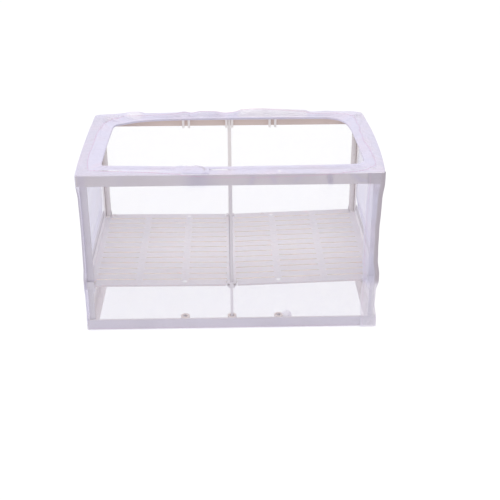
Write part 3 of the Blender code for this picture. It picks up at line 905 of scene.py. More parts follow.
@dataclass
class NetBag:
    """The bag's stretched walls and floor, its doubled seam band and a small pucker at the front."""

    outline: BagOutline
    net: bpy.types.Material
    doubled: bpy.types.Material
    thread: bpy.types.Material
    long_count: int = 176
    short_count: int = 60
    low: float = 0.15 * MM
    top: float = 149.2 * MM
    row_step: float = 3.0 * MM
    face_low: float = 138.0 * MM
    face_step: float = 0.9 * MM
    floor_low: float = 0.3 * MM
    band_start: float = 114.6 * MM
    strip_start: float = 125.7 * MM
    band_wrap: float = 4.0 * MM
    band_proud: float = 0.4 * MM
    band_step: float = 0.9 * MM
    corner_reach: float = 2.2 * MM
    sewn_proud: float = 0.00012
    pucker_place: Triple = (0.0484, -0.0715, 0.0030)
    pucker_size: Triple = (0.0056, 0.0016, 0.0126)
    # Folds on the top rail's face; the last number of each is the painted shade along it.
    face_creases: tuple[Crease, ...] = (
        Crease(0.018, 0.1440, 62.0, 0.0065, 0.0016, 0.0005, 0.35),
        Crease(0.036, 0.1450, 118.0, 0.0060, 0.0018, 0.0004, 0.30),
        Crease(0.056, 0.1445, 40.0, 0.0070, 0.0015, 0.0003, 0.20),
        Crease(0.0835, 0.1445, 98.0, 0.0075, 0.0014, 0.0009, 0.90),
        Crease(0.106, 0.1455, 135.0, 0.0080, 0.0018, 0.0006, 0.30),
        Crease(0.112, 0.1430, 160.0, 0.0060, 0.0014, 0.0004, 0.25),
        Crease(-0.092, 0.1445, 75.0, 0.0050, 0.0022, 0.0002, 0.10),
        Crease(-0.027, 0.1440, 92.0, 0.0090, 0.0100, 0.0002, 0.30),
        Crease(-0.125, 0.1440, 90.0, 0.0090, 0.0040, 0.0001, 0.25),
    )

    def heights(self) -> list[float]:
        """Give the heights of the wall's rows.

        Returns:
            The heights, closer together on the top rail's face.
        """
        plain = round((self.face_low - self.low) / self.row_step)
        fine = round((self.top - self.face_low) / self.face_step)
        lower = [blend(self.low, self.face_low, row / plain) for row in range(plain)]
        return lower + [blend(self.face_low, self.top, row / fine) for row in range(fine + 1)]

    def wall_point(self, point: PlanPoint, z: float, proud: float = 0.0) -> Vector:
        """Give the wall's place with its creases and slight unevenness.

        Args:
            point: The place on the outline.
            z: The height.
            proud: How far outside the wall to be.

        Returns:
            The place in space.
        """
        between = ease(0.010, 0.022, z) * (1.0 - ease(0.128, 0.140, z))
        uneven = 0.00016 * ripple(point.run * 55.0, z * 40.0, 1.7) * (0.35 + 0.65 * between)
        lift = proud + uneven
        if point.side is Side.FRONT:
            lift += folded(self.face_creases, "height", point.x, z)
        return self.outline.place(point, z, lift)

    def corner(self, point: PlanPoint, z: float) -> float:
        """Give how far the cloth bunches where it turns a corner between the rails.

        Args:
            point: The place on the outline.
            z: The height.

        Returns:
            The share, 1 where it is bunched most.
        """
        off_x = self.outline.half_width - abs(point.x)
        off_y = self.outline.half_depth - abs(point.y)
        near = 1.0 - ease(self.corner_reach - 1.0 * MM, self.corner_reach + 1.0 * MM, max(off_x, off_y))
        near *= ease(0.0100, 0.0125, z) * (1.0 - ease(0.1370, 0.1395, z))
        if point.y > 0:
            return 0.35 * near if point.side is Side.BACK else 0.0
        return near if point.x < 0 else 0.0

    def shade(self, point: PlanPoint, z: float) -> float:
        """Give the painted shade of the folds and of the front left corner's bunched cloth at a place.

        Args:
            point: The place on the outline.
            z: The height.

        Returns:
            The share of the dark tone.
        """
        dark = 0.0
        if point.x < 0 and point.y < 0:
            dark = self.corner(point, z) * blend(0.30, 0.70, ease(0.044, 0.048, z))
        if point.side is Side.FRONT:
            dark += folded(self.face_creases, "dark", point.x, z)
        return min(dark, 1.0)

    def build_walls(self) -> bpy.types.Object:
        """Make the four walls as one strip of cloth round the frame.

        Returns:
            The walls' object.
        """
        plan = self.outline.points(self.long_count, self.short_count)
        levels = self.heights()
        rows = [[self.wall_point(point, z) for point in plan] for z in levels]
        marks = [[(point.run, z) for point in plan] for z in levels]
        walls = cloth_mesh("net_walls", rows, marks, closed=True)
        paint(walls, GATHER, [self.corner(point, z) for z in levels for point in plan])
        paint(walls, SHADE, [self.shade(point, z) for z in levels for point in plan])
        walls.data.materials.append(self.net)
        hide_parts("net_front", "net_back", "net_left", "net_right")
        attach(walls, FRAME_BODY)
        flat = (self.outline.girth() + 0.015, 0.150)
        return walls

    def build_floor(self) -> bpy.types.Object:
        """Make the floor net, whose edge turns up to meet the walls.

        Returns:
            The floor's object.
        """
        plan = self.outline.points(self.long_count, self.short_count)
        shares = (1.0, 0.9965, 0.99, 0.97, 0.93, 0.87, 0.79, 0.70, 0.60, 0.50, 0.40, 0.30, 0.20, 0.12)
        rows = []
        for share in shares:
            turned = ease(0.99, 1.0, share)
            row = []
            for point in plan:
                edge = self.outline.place(point, self.low)
                x, y = edge.x * share, edge.y * share
                sag = 0.00012 * ripple(x * 60.0, y * 60.0, 5.1)
                row.append(Vector((x, y, blend(self.floor_low + sag, self.low, turned))))
            rows.append(row)
        middle = sum(rows[-1], Vector()) / len(plan)
        rows.append([middle.lerp(place, 0.02) for place in rows[-1]])
        marks = [[(place.x, place.y) for place in row] for row in rows]
        floor = cloth_mesh("net_floor_cloth", rows, marks, closed=True)
        self.close_middle(floor.data, len(plan))
        floor.data.materials.append(self.net)
        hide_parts("net_floor")
        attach(floor, FRAME_BODY)
        return floor

    @staticmethod
    def close_middle(mesh: bpy.types.Mesh, count: int) -> None:
        """Fill the small gap that the floor's last ring leaves, and mark the whole floor's flat places.

        Args:
            mesh: The floor's mesh.
            count: The points of its last ring.
        """
        total = len(mesh.vertices)
        ring = range(total - count, total)
        verts = [tuple(vert.co) for vert in mesh.vertices]
        faces = [tuple(polygon.vertices) for polygon in mesh.polygons]
        verts.append(tuple(sum((mesh.vertices[index].co for index in ring), Vector()) / count))
        faces.extend((ring[index], ring[(index + 1) % count], total) for index in range(count))
        mesh.clear_geometry()
        mesh.from_pydata(verts, [], faces)
        layer = mesh.uv_layers.new(name=CLOTH_UV)
        layer.data.foreach_set("uv", [part for loop in mesh.loops for part in verts[loop.vertex_index][:2]])
        mesh.shade_smooth()
        mesh.update()

    def band_plan(self) -> list[PlanPoint]:
        """Lay the seam band's line round the front right corner.

        Returns:
            The points from the band's left edge to its end on the right wall.
        """
        fine_count = round(2 * self.outline.half_width / self.band_step)
        reach = self.band_wrap - self.outline.half_depth
        return [
            point
            for point in self.outline.points(fine_count, self.short_count * 4)
            if (point.side is Side.FRONT and point.x >= self.band_start)
            or (point.side is Side.RIGHT and point.y <= reach)
        ]

    def build_band(self) -> bpy.types.Object:
        """Make the doubled band of the bag's seam, folded flat at the front right.

        Returns:
            The band's object.
        """
        plan = self.band_plan()
        levels = self.heights()
        rows = []
        for z in levels:
            row = []
            for step, point in enumerate(plan):
                edge = min(step, len(plan) - 1 - step)
                loose = 0.0003 * ripple(z * 70.0, step * 0.4, 8.3)
                proud = self.band_proud * min(edge + 1, 2) / 2 + loose * (1.0 if edge else 0.5)
                row.append(self.wall_point(point, z, max(proud, 0.0001)))
            rows.append(row)
        marks = [[(point.run, z) for point in plan] for z in levels]
        band = cloth_mesh("seam_band_cloth", rows, marks, closed=False)
        laid = [self.band_layers(point, z) for z in levels for point in plan]
        for label, values in zip((GATHER, SHADE, PALE), zip(*laid)):
            paint(band, label, values)
        band.data.materials.append(self.doubled)
        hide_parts("net_seam_band")
        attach(band, FRAME_BODY)
        return band

    def band_layers(self, point: PlanPoint, z: float) -> Triple:
        """Give how dense the seam's layers are, with painted shade on its strip and where it lies on the
        rail, and painted light below the tray, most on the strip.

        Args:
            point: The place on the outline.
            z: The height.

        Returns:
            The shares of gathering, of painted shade and of painted light.
        """
        strip = ease(self.strip_start - 0.0006, self.strip_start + 0.0006, point.x)
        above_tray = ease(0.040, 0.047, z)
        on_rail = ease(0.1388, 0.1400, z)
        on_low_rail = 1.0 - ease(0.0095, 0.0115, z)
        slope = 0.12 * ease(0.1230, self.strip_start, point.x)
        inner = ease(0.1200, 0.1212, point.x)
        dense_above = max(0.66, inner)
        dense_below = max(0.34, 0.50 * inner, 0.58 * strip, 0.95 * on_low_rail)
        # Painted shade on the strip above the tray and where the band lies on the rail.
        dark = max(above_tray * blend(slope, 1.0, strip), 0.75 * on_rail)
        # Painted light below the tray.
        pale = blend(blend(0.50, 0.80, strip), 0.45, on_low_rail) * (1.0 - above_tray)
        return blend(dense_below, dense_above, above_tray), dark, pale

    def build_pucker(self) -> bpy.types.Object:
        """Make the pinch of cloth that stands up behind the bottom rail beside the right socket.

        Returns:
            The pucker's object.
        """
        columns, levels = 15, 9
        (left, front, foot), (width, depth, tall) = self.pucker_place, self.pucker_size
        spread = [column / (columns - 1) * 2.0 - 1.0 for column in range(columns)]
        rows = []
        marks = []
        for level in range(levels):
            up = level / (levels - 1)
            narrow = max((1.0 - up**2.4) ** 0.5, 0.08)
            row = []
            for across in spread:
                x = left + width * across * narrow + 0.0012 * up
                y = front - depth * math.cos(across * math.pi / 2) * (1.0 - 0.5 * up)
                row.append(Vector((x, y, foot + tall * up)))
            rows.append(row)
            marks.append([(0.0057 * across, tall * up) for across in spread])
        pucker = cloth_mesh("net_pucker", rows, marks, closed=False)
        # Painted light: the whole pucker takes the pale tone.
        for label in (GATHER, PALE):
            paint(pucker, label, [1.0] * columns * levels)
        pucker.data.materials.append(self.doubled)
        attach(pucker, FRAME_BODY)
        return pucker

    def build_stitches(self) -> None:
        """Sew the seam band's edge and the bag's bottom seam."""
        row = StitchRow(length=1.7 * MM, spacing=2.5 * MM, thickness=0.24 * MM)
        edge = self.band_plan()[2]
        proud = self.band_proud + self.sewn_proud
        points = [self.wall_point(edge, z, proud) for z in self.heights() if z > 1.5 * MM]
        band_row = row.sew("seam_band_stitches", points, self.thread, closed=False)
        loop = self.outline.points(self.long_count, self.short_count)
        foot = [self.wall_point(point, 0.0021, self.sewn_proud) for point in loop]
        foot_row = row.sew("floor_seam_stitches", foot, self.thread, closed=True)
        for obj in (band_row, foot_row):
            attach(obj, FRAME_BODY)

    def build(self) -> None:
        """Make every piece of the bag below its rim."""
        for obj in (self.build_walls(), self.build_floor(), self.build_band(), self.build_pucker()):
            LOG.info("%s: %d faces", obj.name, len(obj.data.polygons))
        self.build_stitches()


@dataclass(frozen=True)
class RimPoint:
    """One line across the rim, from the rail's outer face in to the hem's edge."""

    outer: Vector
    inner: Vector
    side: Side
    share: float
    run: float
    hem: float

    @property
    def flat_outer(self) -> Vector:
        """Give the line's outer end on the ground, where its inner one lies."""
        return Vector((self.outer.x, self.outer.y, 0.0))

    @property
    def span(self) -> float:
        """Give the line's length, seen from above."""
        return (self.flat_outer - self.inner).length

    @property
    def outward(self) -> Vector:
        """Give the line's level direction out of the box."""
        return (self.flat_outer - self.inner).normalized()


@dataclass
class FoldedRim:
    """The bag's rim, folded in over the top rails, with an elastic in its hem."""

    outline: BagOutline
    cloth: bpy.types.Material
    thread: bpy.types.Material
    covering: bpy.types.Material
    counts: tuple[tuple[Side, int], ...] = (
        (Side.FRONT, 190), (Side.RIGHT, 112), (Side.BACK, 190), (Side.LEFT, 112),
    )
    fine_counts: tuple[int, int] = (400, 240)
    start_z: float = 149.2 * MM
    flange_top: float = 149.1 * MM
    flange_width: float = 8.0 * MM
    rest_z: float = 149.75 * MM
    edge_round: float = 0.9 * MM
    cord_z: float = 149.05 * MM
    cord_inset: float = 1.2 * MM
    cord_wrap: float = 1.1 * MM
    front_edge: Table = (
        (-109.4, -53.0), (-107.4, -54.6), (-100.0, -55.0), (-85.0, -55.9), (-68.0, -56.8), (-51.0, -57.8),
        (-34.0, -58.7), (-13.0, -59.6), (1.4, -59.6), (17.0, -59.1), (42.0, -58.8), (68.0, -58.3),
        (89.0, -57.8), (102.0, -57.0), (109.5, -56.0), (113.0, -53.5),
    )
    right_edge: Table = (
        (113.0, -53.5), (114.9, -49.0), (115.2, -43.0), (115.1, -23.6), (114.5, -3.0), (113.9, 18.0),
        (113.0, 34.6), (110.5, 49.5), (107.5, 56.0),
    )
    back_edge: Table = (
        (107.5, 56.0), (104.0, 60.5), (98.0, 63.8), (92.0, 65.4), (80.0, 66.1), (68.0, 66.3), (39.0, 66.2),
        (0.0, 66.2), (-28.0, 66.0), (-47.0, 65.4), (-66.0, 64.4), (-81.0, 62.0), (-90.0, 59.2), (-99.0, 54.6),
        (-104.8, 51.4), (-107.4, 50.0),
    )
    left_edge: Table = (
        (-107.4, 50.0), (-109.0, 44.0), (-109.5, 30.0), (-110.0, 6.0), (-110.2, -21.0), (-110.1, -41.0),
        (-110.0, -49.5), (-109.4, -53.0),
    )
    side_hems: tuple[tuple[Side, Table], ...] = (
        (
            Side.RIGHT,
            (
                (0.0, 0.0133), (0.04, 0.0145), (0.10, 0.0138), (0.27, 0.0100), (0.46, 0.0066), (0.65, 0.0068),
                (0.80, 0.0094), (0.94, 0.0130), (1.0, 0.0130),
            ),
        ),
        (
            Side.BACK,
            ((0.0, 0.0130), (0.06, 0.0100), (0.12, 0.0080), (0.88, 0.0085), (0.95, 0.0120), (1.0, 0.0121)),
        ),
        (
            Side.LEFT,
            (
                (0.0, 0.0121), (0.09, 0.0138), (0.31, 0.0136), (0.50, 0.0124), (0.60, 0.0127), (0.71, 0.0141),
                (0.87, 0.0157), (0.95, 0.0158), (1.0, 0.0154),
            ),
        ),
    )
    front_hem: Table = (
        (-0.112, 0.0154), (-0.104, 0.0156), (-0.085, 0.0162), (-0.062, 0.0168), (-0.045, 0.0185),
        (-0.028, 0.0199), (0.0, 0.0198), (0.030, 0.0208), (0.080, 0.0215), (0.094, 0.0195),
        (0.102, 0.0178), (0.108, 0.0150), (0.111, 0.0137), (0.113, 0.0133),
    )
    back_crest: Table = (
        (-0.129, 0.0020), (-0.115, 0.0024), (-0.104, 0.0029), (-0.095, 0.0047), (-0.087, 0.0044),
        (-0.080, 0.0026), (-0.066, 0.0026), (-0.052, 0.0028), (-0.044, 0.0038), (-0.036, 0.0026),
        (-0.028, 0.0040), (-0.014, 0.0036), (-0.004, 0.0020), (0.0025, 0.0025), (0.006, 0.0030),
        (0.012, 0.0052), (0.025, 0.0061), (0.035, 0.0062), (0.046, 0.0057), (0.058, 0.0052),
        (0.072, 0.0046), (0.080, 0.0024), (0.086, 0.0026), (0.093, 0.0031), (0.103, 0.0028),
        (0.109, 0.0024), (0.118, 0.0028), (0.129, 0.0020),
    )
    top_rows: int = 24
    outer_shade: float = 0.15
    layer_shift: float = 2.4
    layer_thinness: float = 1.6
    lap_start: float = -46.0 * MM
    lap_end: Table = (
        (0.0, -0.0275), (0.0025, -0.0225), (0.005, -0.0192), (0.009, -0.0178), (0.0164, -0.0182),
    )
    lap_width: float = 16.4 * MM
    side_domes: tuple[tuple[Side, float], ...] = (
        (Side.FRONT, 0.3 * MM), (Side.RIGHT, 1.9 * MM), (Side.LEFT, 1.0 * MM),
    )
    folds: tuple[Crease, ...] = (
        Crease(-0.112, 0.062, 148.0, 0.016, 0.0017, 0.0011),
        Crease(-0.104, 0.067, 165.0, 0.016, 0.0015, 0.0009),
        Crease(-0.119, 0.050, 118.0, 0.013, 0.0016, 0.0007),
        Crease(-0.121, 0.030, 96.0, 0.026, 0.0013, 0.0007),
        Crease(-0.121, -0.020, 88.0, 0.026, 0.0014, 0.0006),
        Crease(0.119, 0.062, 40.0, 0.015, 0.0018, 0.0009),
        Crease(0.122, 0.040, 80.0, 0.020, 0.0015, 0.0007),
        Crease(0.1245, 0.000, 93.0, 0.030, 0.0014, 0.0008),
        Crease(0.121, -0.048, 80.0, 0.018, 0.0013, 0.0007),
        Crease(0.115, -0.0665, -8.0, 0.012, 0.0013, 0.0010),
        Crease(0.104, -0.0700, 12.0, 0.012, 0.0012, 0.0006),
        Crease(-0.118, -0.0640, -38.0, 0.012, 0.0016, 0.0005),
        # Painted highlights over the prong pairs.
        Crease(-0.042, -0.0725, 90.0, 0.0036, 0.0009, 0.0006, pale=1.0),
        Crease(0.0413, -0.0725, 90.0, 0.0036, 0.0009, 0.0006, pale=1.0),
        Crease(-0.101, -0.0665, -3.5, 0.014, 0.0010, thin=1.1),
        Crease(-0.072, -0.0680, -3.5, 0.018, 0.0009, thin=0.8),
        Crease(-0.007, -0.0680, -4.5, 0.016, 0.0009, thin=2.2),
        # Painted shade along two lines of the front hem.
        Crease(-0.007, -0.0698, -4.5, 0.016, 0.0007, dark=0.25),
        Crease(0.070, -0.0670, -1.5, 0.050, 0.0025, dark=0.38),
    )

    def edge_points(self) -> list[tuple[Vector, Side, float]]:
        """Lay the hem's inner edge in the order of the outline.

        Returns:
            Each point with its side and its share of the way along that side.
        """
        laid = []
        tables = (self.front_edge, self.right_edge, self.back_edge, self.left_edge)
        for (side, count), table in zip(self.counts, tables):
            line = spaced_points([Vector((x * MM, y * MM, 0.0)) for x, y in table], count + 1)
            laid.extend((line[step], side, step / count) for step in range(count))
        return laid

    def hem_width(self, side: Side, share: float, x: float) -> float:
        """Give the hem's width, which changes along the front and from one side to the next.

        Args:
            side: The side of the box.
            share: The share of the way along that side.
            x: The place along the front.

        Returns:
            The distance from the hem's edge to its seam.
        """
        if side is Side.FRONT:
            return read_off(self.front_hem, x)
        return read_off(dict(self.side_hems)[side], share)

    def lines(self) -> list[RimPoint]:
        """Lay the lines across the rim.

        Returns:
            The lines, round from the front left corner.
        """
        outer_points = self.outer_points()
        made = []
        run = 0.0
        last = outer_points[0]
        for (inner, side, share), outer in zip(self.edge_points(), outer_points):
            run += (outer - last).length
            last = outer
            made.append(RimPoint(outer, inner, side, share, run, self.hem_width(side, share, inner.x)))
        return made

    def outer_points(self) -> list[Vector]:
        """Lay the rim's outer line on the top of the walls.

        Returns:
            The points, side by side from the middle of one corner to the middle of the next.
        """
        fine = self.outline.points(*self.fine_counts)
        corners: dict[Side, list[int]] = {side: [] for side in Side}
        for index, point in enumerate(fine):
            if point.share == 1.0:
                corners[point.side].append(index)
        mids = {side: indexes[self.outline.corner_steps // 2] for side, indexes in corners.items()}
        start = mids[Side.LEFT]
        laid = []
        for side, count in self.counts:
            picked = [(start + step) % len(fine) for step in range((mids[side] - start) % len(fine) + 1)]
            line = [self.outline.place(fine[index], self.start_z) for index in picked]
            laid.extend(even_points(line, count + 1)[:count])
            start = mids[side]
        return laid

    def dome(self, line: RimPoint, share: float) -> float:
        """Give how far the cloth stands up between the rail's edge and the hem.

        Args:
            line: The line across the rim.
            share: The share of the way in, from 0 at the rail's outer face to 1 at the hem's edge.

        Returns:
            The height above its level place.
        """
        place = line.outer.lerp(line.inner, share)
        at_back = ease(0.050, 0.066, place.y)
        crest = read_off(self.back_crest, place.x) + 0.0006
        swell = dict(self.side_domes).get(line.side, 0.0)
        ends = 1.0 - abs(line.share * 2.0 - 1.0) ** 3
        side_rise = swell * ends * math.sin(math.pi * share**0.9)
        back_rise = crest * math.sin(math.pi * min(share / 0.86, 1.0) ** 0.62)
        return blend(side_rise, back_rise, at_back)

    def crumple(self, line: RimPoint, place: Vector, share: float) -> float:
        """Give the small folds of slack and gathered cloth at a place.

        Args:
            line: The line across the rim.
            place: The place, seen from above.
            share: The share of the way in.

        Returns:
            The height of the folds.
        """
        free = ease(0.0, 0.12, share) * (1.0 - ease(0.90, 1.0, share))
        folds = folded(self.folds, "height", place.x, place.y)
        slack = abs(ripple(place.x * 75.0, place.y * 75.0, 3.3)) * 0.0005
        slack += ripple(place.x * 190.0, place.y * 190.0, 9.2) * 0.00016
        slack *= 1.0 - 0.8 * ease(0.030, 0.060, place.y)
        run = line.run * 1000.0
        waves = math.sin(run * 1.13 + 2.0 * ripple(run * 0.06, 0.0, 2.1))
        waves *= 0.55 + 0.45 * ripple(run * 0.11, 4.0, 6.6)
        reach = (line.inner - place).length
        gathers = waves * 0.00028 * math.exp(-reach / 0.0055)
        return (folds + slack) * free + gathers

    def top_point(self, line: RimPoint, from_edge: float) -> Vector:
        """Give a place on the rim's upper layer.

        Args:
            line: The line across the rim.
            from_edge: The distance out from the hem's inner edge.

        Returns:
            The place in space.
        """
        share = 1.0 - from_edge / line.span
        place = line.inner.lerp(line.flat_outer, from_edge / line.span)
        level = self.rest_z + self.dome(line, share) + self.crumple(line, place, share)
        crown = self.cord_z + self.cord_wrap
        at_cord = 1.0 - ease(self.cord_inset, self.cord_inset + 3.2 * MM, from_edge)
        z = blend(level, crown + self.crumple(line, place, share), at_cord)
        groove = 0.00025 * math.exp(-(((from_edge - line.hem) / 0.0009) ** 2))
        return Vector((place.x, place.y, z - groove))

    def rows(self) -> tuple[list[list[Vector]], list[list[Pair]], list[float], list[Pair]]:
        """Lay the rim's rows, from the rail's face over the top, round the cord and back below.

        Returns:
            The rows of points, their flat places, how gathered each point is, and each point's painted shade
            and painted light.
        """
        lines = self.lines()
        rows: list[list[Vector]] = []
        marks: list[list[Pair]] = []
        gathers: list[float] = []
        painted_shadings: list[Pair] = []
        rounding = ((0.0, 0.0, 0.0), (0.12, 0.32, 0.0), (0.40, 0.62, 0.35), (0.75, 0.90, 0.8))
        flat_run = 0.149
        for inset, up, mixed in rounding:
            row = []
            for line in lines:
                goal = self.top_point(line, line.span - self.edge_round)
                start = Vector((line.outer.x, line.outer.y, self.start_z))
                ahead = start.lerp(Vector((goal.x, goal.y, start.z)), inset)
                row.append(Vector((ahead.x, ahead.y, blend(start.z, goal.z, up))))
            rows.append(row)
            marks.append([(line.run, flat_run + up * 0.001) for line in lines])
            gathers.extend([0.1 * mixed] * len(lines))
            painted_shadings.extend(self.painted_shading(place) for place in row)
        shares = [step / self.top_rows for step in range(self.top_rows)]
        for share in shares:
            row = []
            for line in lines:
                from_edge = blend(line.span - self.edge_round, 2.6 * MM, share / shares[-1])
                row.append(self.top_point(line, from_edge))
                thin = folded(self.folds, "thin", row[-1].x, row[-1].y)
                gathers.append(self.gathering(line, from_edge) - thin)
                dark, pale = self.painted_shading(row[-1])
                painted_shadings.append((min(dark + self.edge_shade(line, from_edge), 1.0), pale))
            rows.append(row)
            marks.append([(line.run, flat_run + 0.001 + share * 0.017) for line in lines])
        self.add_hem(lines, rows, marks, gathers)
        painted_shadings.extend([(0.0, 0.0)] * (len(gathers) - len(painted_shadings)))
        return rows, marks, gathers, painted_shadings

    def painted_shading(self, place: Vector) -> Pair:
        """Give the painted shade of the folds, and the painted light of their highlights and of the back's
        puffed crest, at a place.

        Args:
            place: The place on the rim.

        Returns:
            The shares of the dark and of the pale tone.
        """
        dark = folded(self.folds, "dark", place.x, place.y)
        pale = folded(self.folds, "pale", place.x, place.y)
        crest = read_off(self.back_crest, place.x)
        # Painted light on the back's puffed crest.
        puffed = ease(0.0030, 0.0056, crest) + 0.15 * ease(0.055, 0.075, place.x)
        pale += puffed * ease(0.060, 0.068, place.y)
        return min(dark, 1.0), min(pale, 1.0)

    def edge_shade(self, line: RimPoint, from_edge: float) -> float:
        """Give the painted shade on the single cloth outside the hem's seam at the left and on the front's
        left part.

        Args:
            line: The line across the rim.
            from_edge: The distance out from the hem's inner edge.

        Returns:
            The share of the dark tone to add.
        """
        if line.side in (Side.RIGHT, Side.BACK):
            return 0.0
        left = 1.0 if line.side is Side.LEFT else 1.0 - ease(-0.060, -0.030, line.inner.x)
        return self.outer_shade * left * ease(line.hem - 1.0 * MM, line.hem + 1.5 * MM, from_edge)

    def gathering(self, line: RimPoint, from_edge: float) -> float:
        """Give how gathered the cloth is, which is most along the elastic and over the side hems.

        Args:
            line: The line across the rim.
            from_edge: The distance out from the hem's inner edge.

        Returns:
            The share of gathering.
        """
        elastic_band = 1.0 - ease(3.4 * MM, 5.2 * MM, from_edge)
        whole_hem = 1.0 - ease(line.hem - 0.8 * MM, line.hem + 0.8 * MM, from_edge)
        front = line.side is Side.FRONT and 0.03 < line.share < 0.97
        behind = 0.7 * ease(0.050, 0.060, line.inner.y)
        return max(0.9 * elastic_band, (0.25 if front else 0.8) * whole_hem, behind)

    def add_hem(
        self,
        lines: list[RimPoint],
        rows: list[list[Vector]],
        marks: list[list[Pair]],
        gathers: list[float],
    ) -> None:
        """Add the rows that wrap the cord and run back under the upper layer to the hem's seam.

        Args:
            lines: The lines across the rim.
            rows: The rows of points, which grow.
            marks: Their flat places, which grow.
            gathers: How gathered each point is, which grows.
        """
        turn_steps = 7
        flat_run = 0.167
        for step in range(turn_steps + 1):
            angle = math.pi * (0.5 - step / turn_steps)
            row = []
            for line in lines:
                centre = self.cord_place(line)
                reach = -line.outward * (math.cos(angle) * self.cord_wrap)
                wave = self.crumple(line, centre, 1.0)
                up = math.sin(angle) * self.cord_wrap + wave * max(math.sin(angle), 0.0)
                row.append(Vector((centre.x + reach.x, centre.y + reach.y, self.cord_z + up)))
            rows.append(row)
            marks.append([(line.run, flat_run + step * 0.00045) for line in lines])
            gathers.extend([1.0] * len(lines))
        for share in (0.03, 0.10, 0.22, 0.35, 0.48, 0.60, 0.72, 0.86, 1.0):
            row = []
            for line in lines:
                above = self.top_point(line, blend(2.2 * MM, min(line.hem, 11.0 * MM), share))
                z = blend(self.cord_z - self.cord_wrap, above.z - 0.00022, ease(0.0, 1.0, share))
                if self.over_flange(above):
                    z = max(z, self.flange_top + 0.00022)
                z = min(z, above.z - 0.00015)
                row.append(Vector((above.x, above.y, z)))
                below = above.y - self.layer_shift * (above.z - z)
                thin = self.layer_thinness * folded(self.folds, "thin", above.x, below)
                gathers.append(self.gathering(line, blend(2.2 * MM, line.hem, share)) - thin)
            rows.append(row)
            marks.append([(line.run, flat_run + 0.004 + share * 0.007) for line in lines])

    def over_flange(self, place: Vector) -> bool:
        """Tell whether a place lies over the flange of a top rail, or within half a millimetre of it.

        Args:
            place: The place on the rim.

        Returns:
            Whether it does.
        """
        low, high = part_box("top_front_rail")
        inner_x = high.x - self.flange_width - 0.5 * MM
        inner_y = -low.y - self.flange_width - 0.5 * MM
        return abs(place.x) > inner_x or abs(place.y) > inner_y

    def cord_place(self, line: RimPoint) -> Vector:
        """Give the place of the cord's middle on a line across the rim."""
        place = line.inner + line.outward * self.cord_inset
        return Vector((place.x, place.y, self.cord_z))

    def build_cloth(self) -> bpy.types.Object:
        """Make the rim as one strip of cloth with its hem turned under.

        Returns:
            The rim's object.
        """
        rows, marks, gathers, painted_shadings = self.rows()
        rim = cloth_mesh("rim_cloth", rows, marks, closed=True)
        for label, values in zip((GATHER, SHADE, PALE), (gathers, *zip(*painted_shadings))):
            paint(rim, label, values)
        rim.data.materials.append(self.cloth)
        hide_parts("net_rim")
        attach(rim, FRAME_BODY)
        return rim

    def build_elastic(self) -> bpy.types.Object:
        """Make the elastic in the hem.

        Returns:
            The elastic's object.
        """
        points = [self.cord_place(line) for line in self.lines()]
        elastic = RoundCord().lay("rim_elastic", points, self.covering, closed=True)
        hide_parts("hem_elastic")
        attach(elastic, FRAME_BODY)
        return elastic

    def front_top(self, lines: list[RimPoint], x: float, from_edge: float) -> Vector:
        """Give a place on the front's upper layer by its place along the front.

        Args:
            lines: The front's lines across the rim.
            x: The place along the front.
            from_edge: The distance out from the hem's inner edge.

        Returns:
            The place in space.
        """
        last = self.top_point(lines[0], from_edge)
        for line in lines[1:]:
            place = self.top_point(line, from_edge)
            if place.x >= x:
                return last.lerp(place, (x - last.x) / (place.x - last.x))
            last = place
        return last

    def build_overlap(self) -> bpy.types.Object:
        """Make the end of the hem that laps over its start at the front, its cut edge curling up.

        Returns:
            The overlap's object.
        """
        lines = [line for line in self.lines() if line.side is Side.FRONT and -0.062 < line.inner.x < 0.004]
        levels, columns = 18, 44
        rows = []
        marks = []
        tints = []
        for level in range(levels):
            from_edge = blend(self.lap_width, 0.3 * MM, level / (levels - 1))
            end = read_off(self.lap_end, from_edge)
            middle = math.sin(min(from_edge / self.lap_width + 0.1, 1.0) * math.pi)
            row = []
            for column in range(columns):
                share = column / (columns - 1)
                x = blend(self.lap_start, end, share)
                place = self.front_top(lines, x, from_edge)
                to_end = end - x
                curl = math.exp(-(((to_end - 0.0020) / 0.0016) ** 2))
                lift = 0.00005 + 0.00025 * ease(0.0, 0.3, share) + 0.0006 * curl
                row.append(Vector((place.x, place.y, place.z + lift)))
                # Painted shadow under the curled end, and painted light on the curled edge.
                dark = 0.75 * middle * math.exp(-(((to_end - 0.0038) / 0.0012) ** 2))
                pale = 0.2 * (1.0 - ease(0.0012, 0.0030, to_end))
                tints.append((0.5, dark * (1.0 - pale), 0.5 * pale))
            rows.append(row)
            marks.append([(place.x, 0.18 - from_edge) for place in row])
        lap = cloth_mesh("hem_overlap", rows, marks, closed=False)
        for label, values in zip((GATHER, SHADE, PALE), zip(*tints)):
            paint(lap, label, values)
        lap.data.materials.append(self.cloth)
        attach(lap, FRAME_BODY)
        return lap

    def seam_point(self, line: RimPoint) -> Vector:
        """Give the hem seam's place, which runs over the rail's edge where the hem is wide.

        Args:
            line: The line across the rim.

        Returns:
            The place just above the cloth.
        """
        lift = 0.22 * MM
        over = line.hem - line.span
        if over > -0.6 * MM:
            return line.outer + line.outward * lift - Vector((0.0, 0.0, max(over, 0.0)))
        place = self.top_point(line, line.hem)
        return Vector((place.x, place.y, place.z + lift))

    def build_stitches(self) -> bpy.types.Object:
        """Sew the hem's seam all round the rim.

        Returns:
            The stitches' object.
        """
        points = [self.seam_point(line) for line in self.lines()]
        sewn = StitchRow().sew("hem_stitches", points, self.thread, closed=True)
        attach(sewn, FRAME_BODY)
        return sewn

    def build(self) -> None:
        """Make every piece of the rim."""
        rim = self.build_cloth()
        elastic = self.build_elastic()
        lap = self.build_overlap()
        stitches = self.build_stitches()
        self.outline.girth()
        for obj in (rim, elastic, lap, stitches):
            LOG.info("%s: %d faces", obj.name, len(obj.data.polygons))


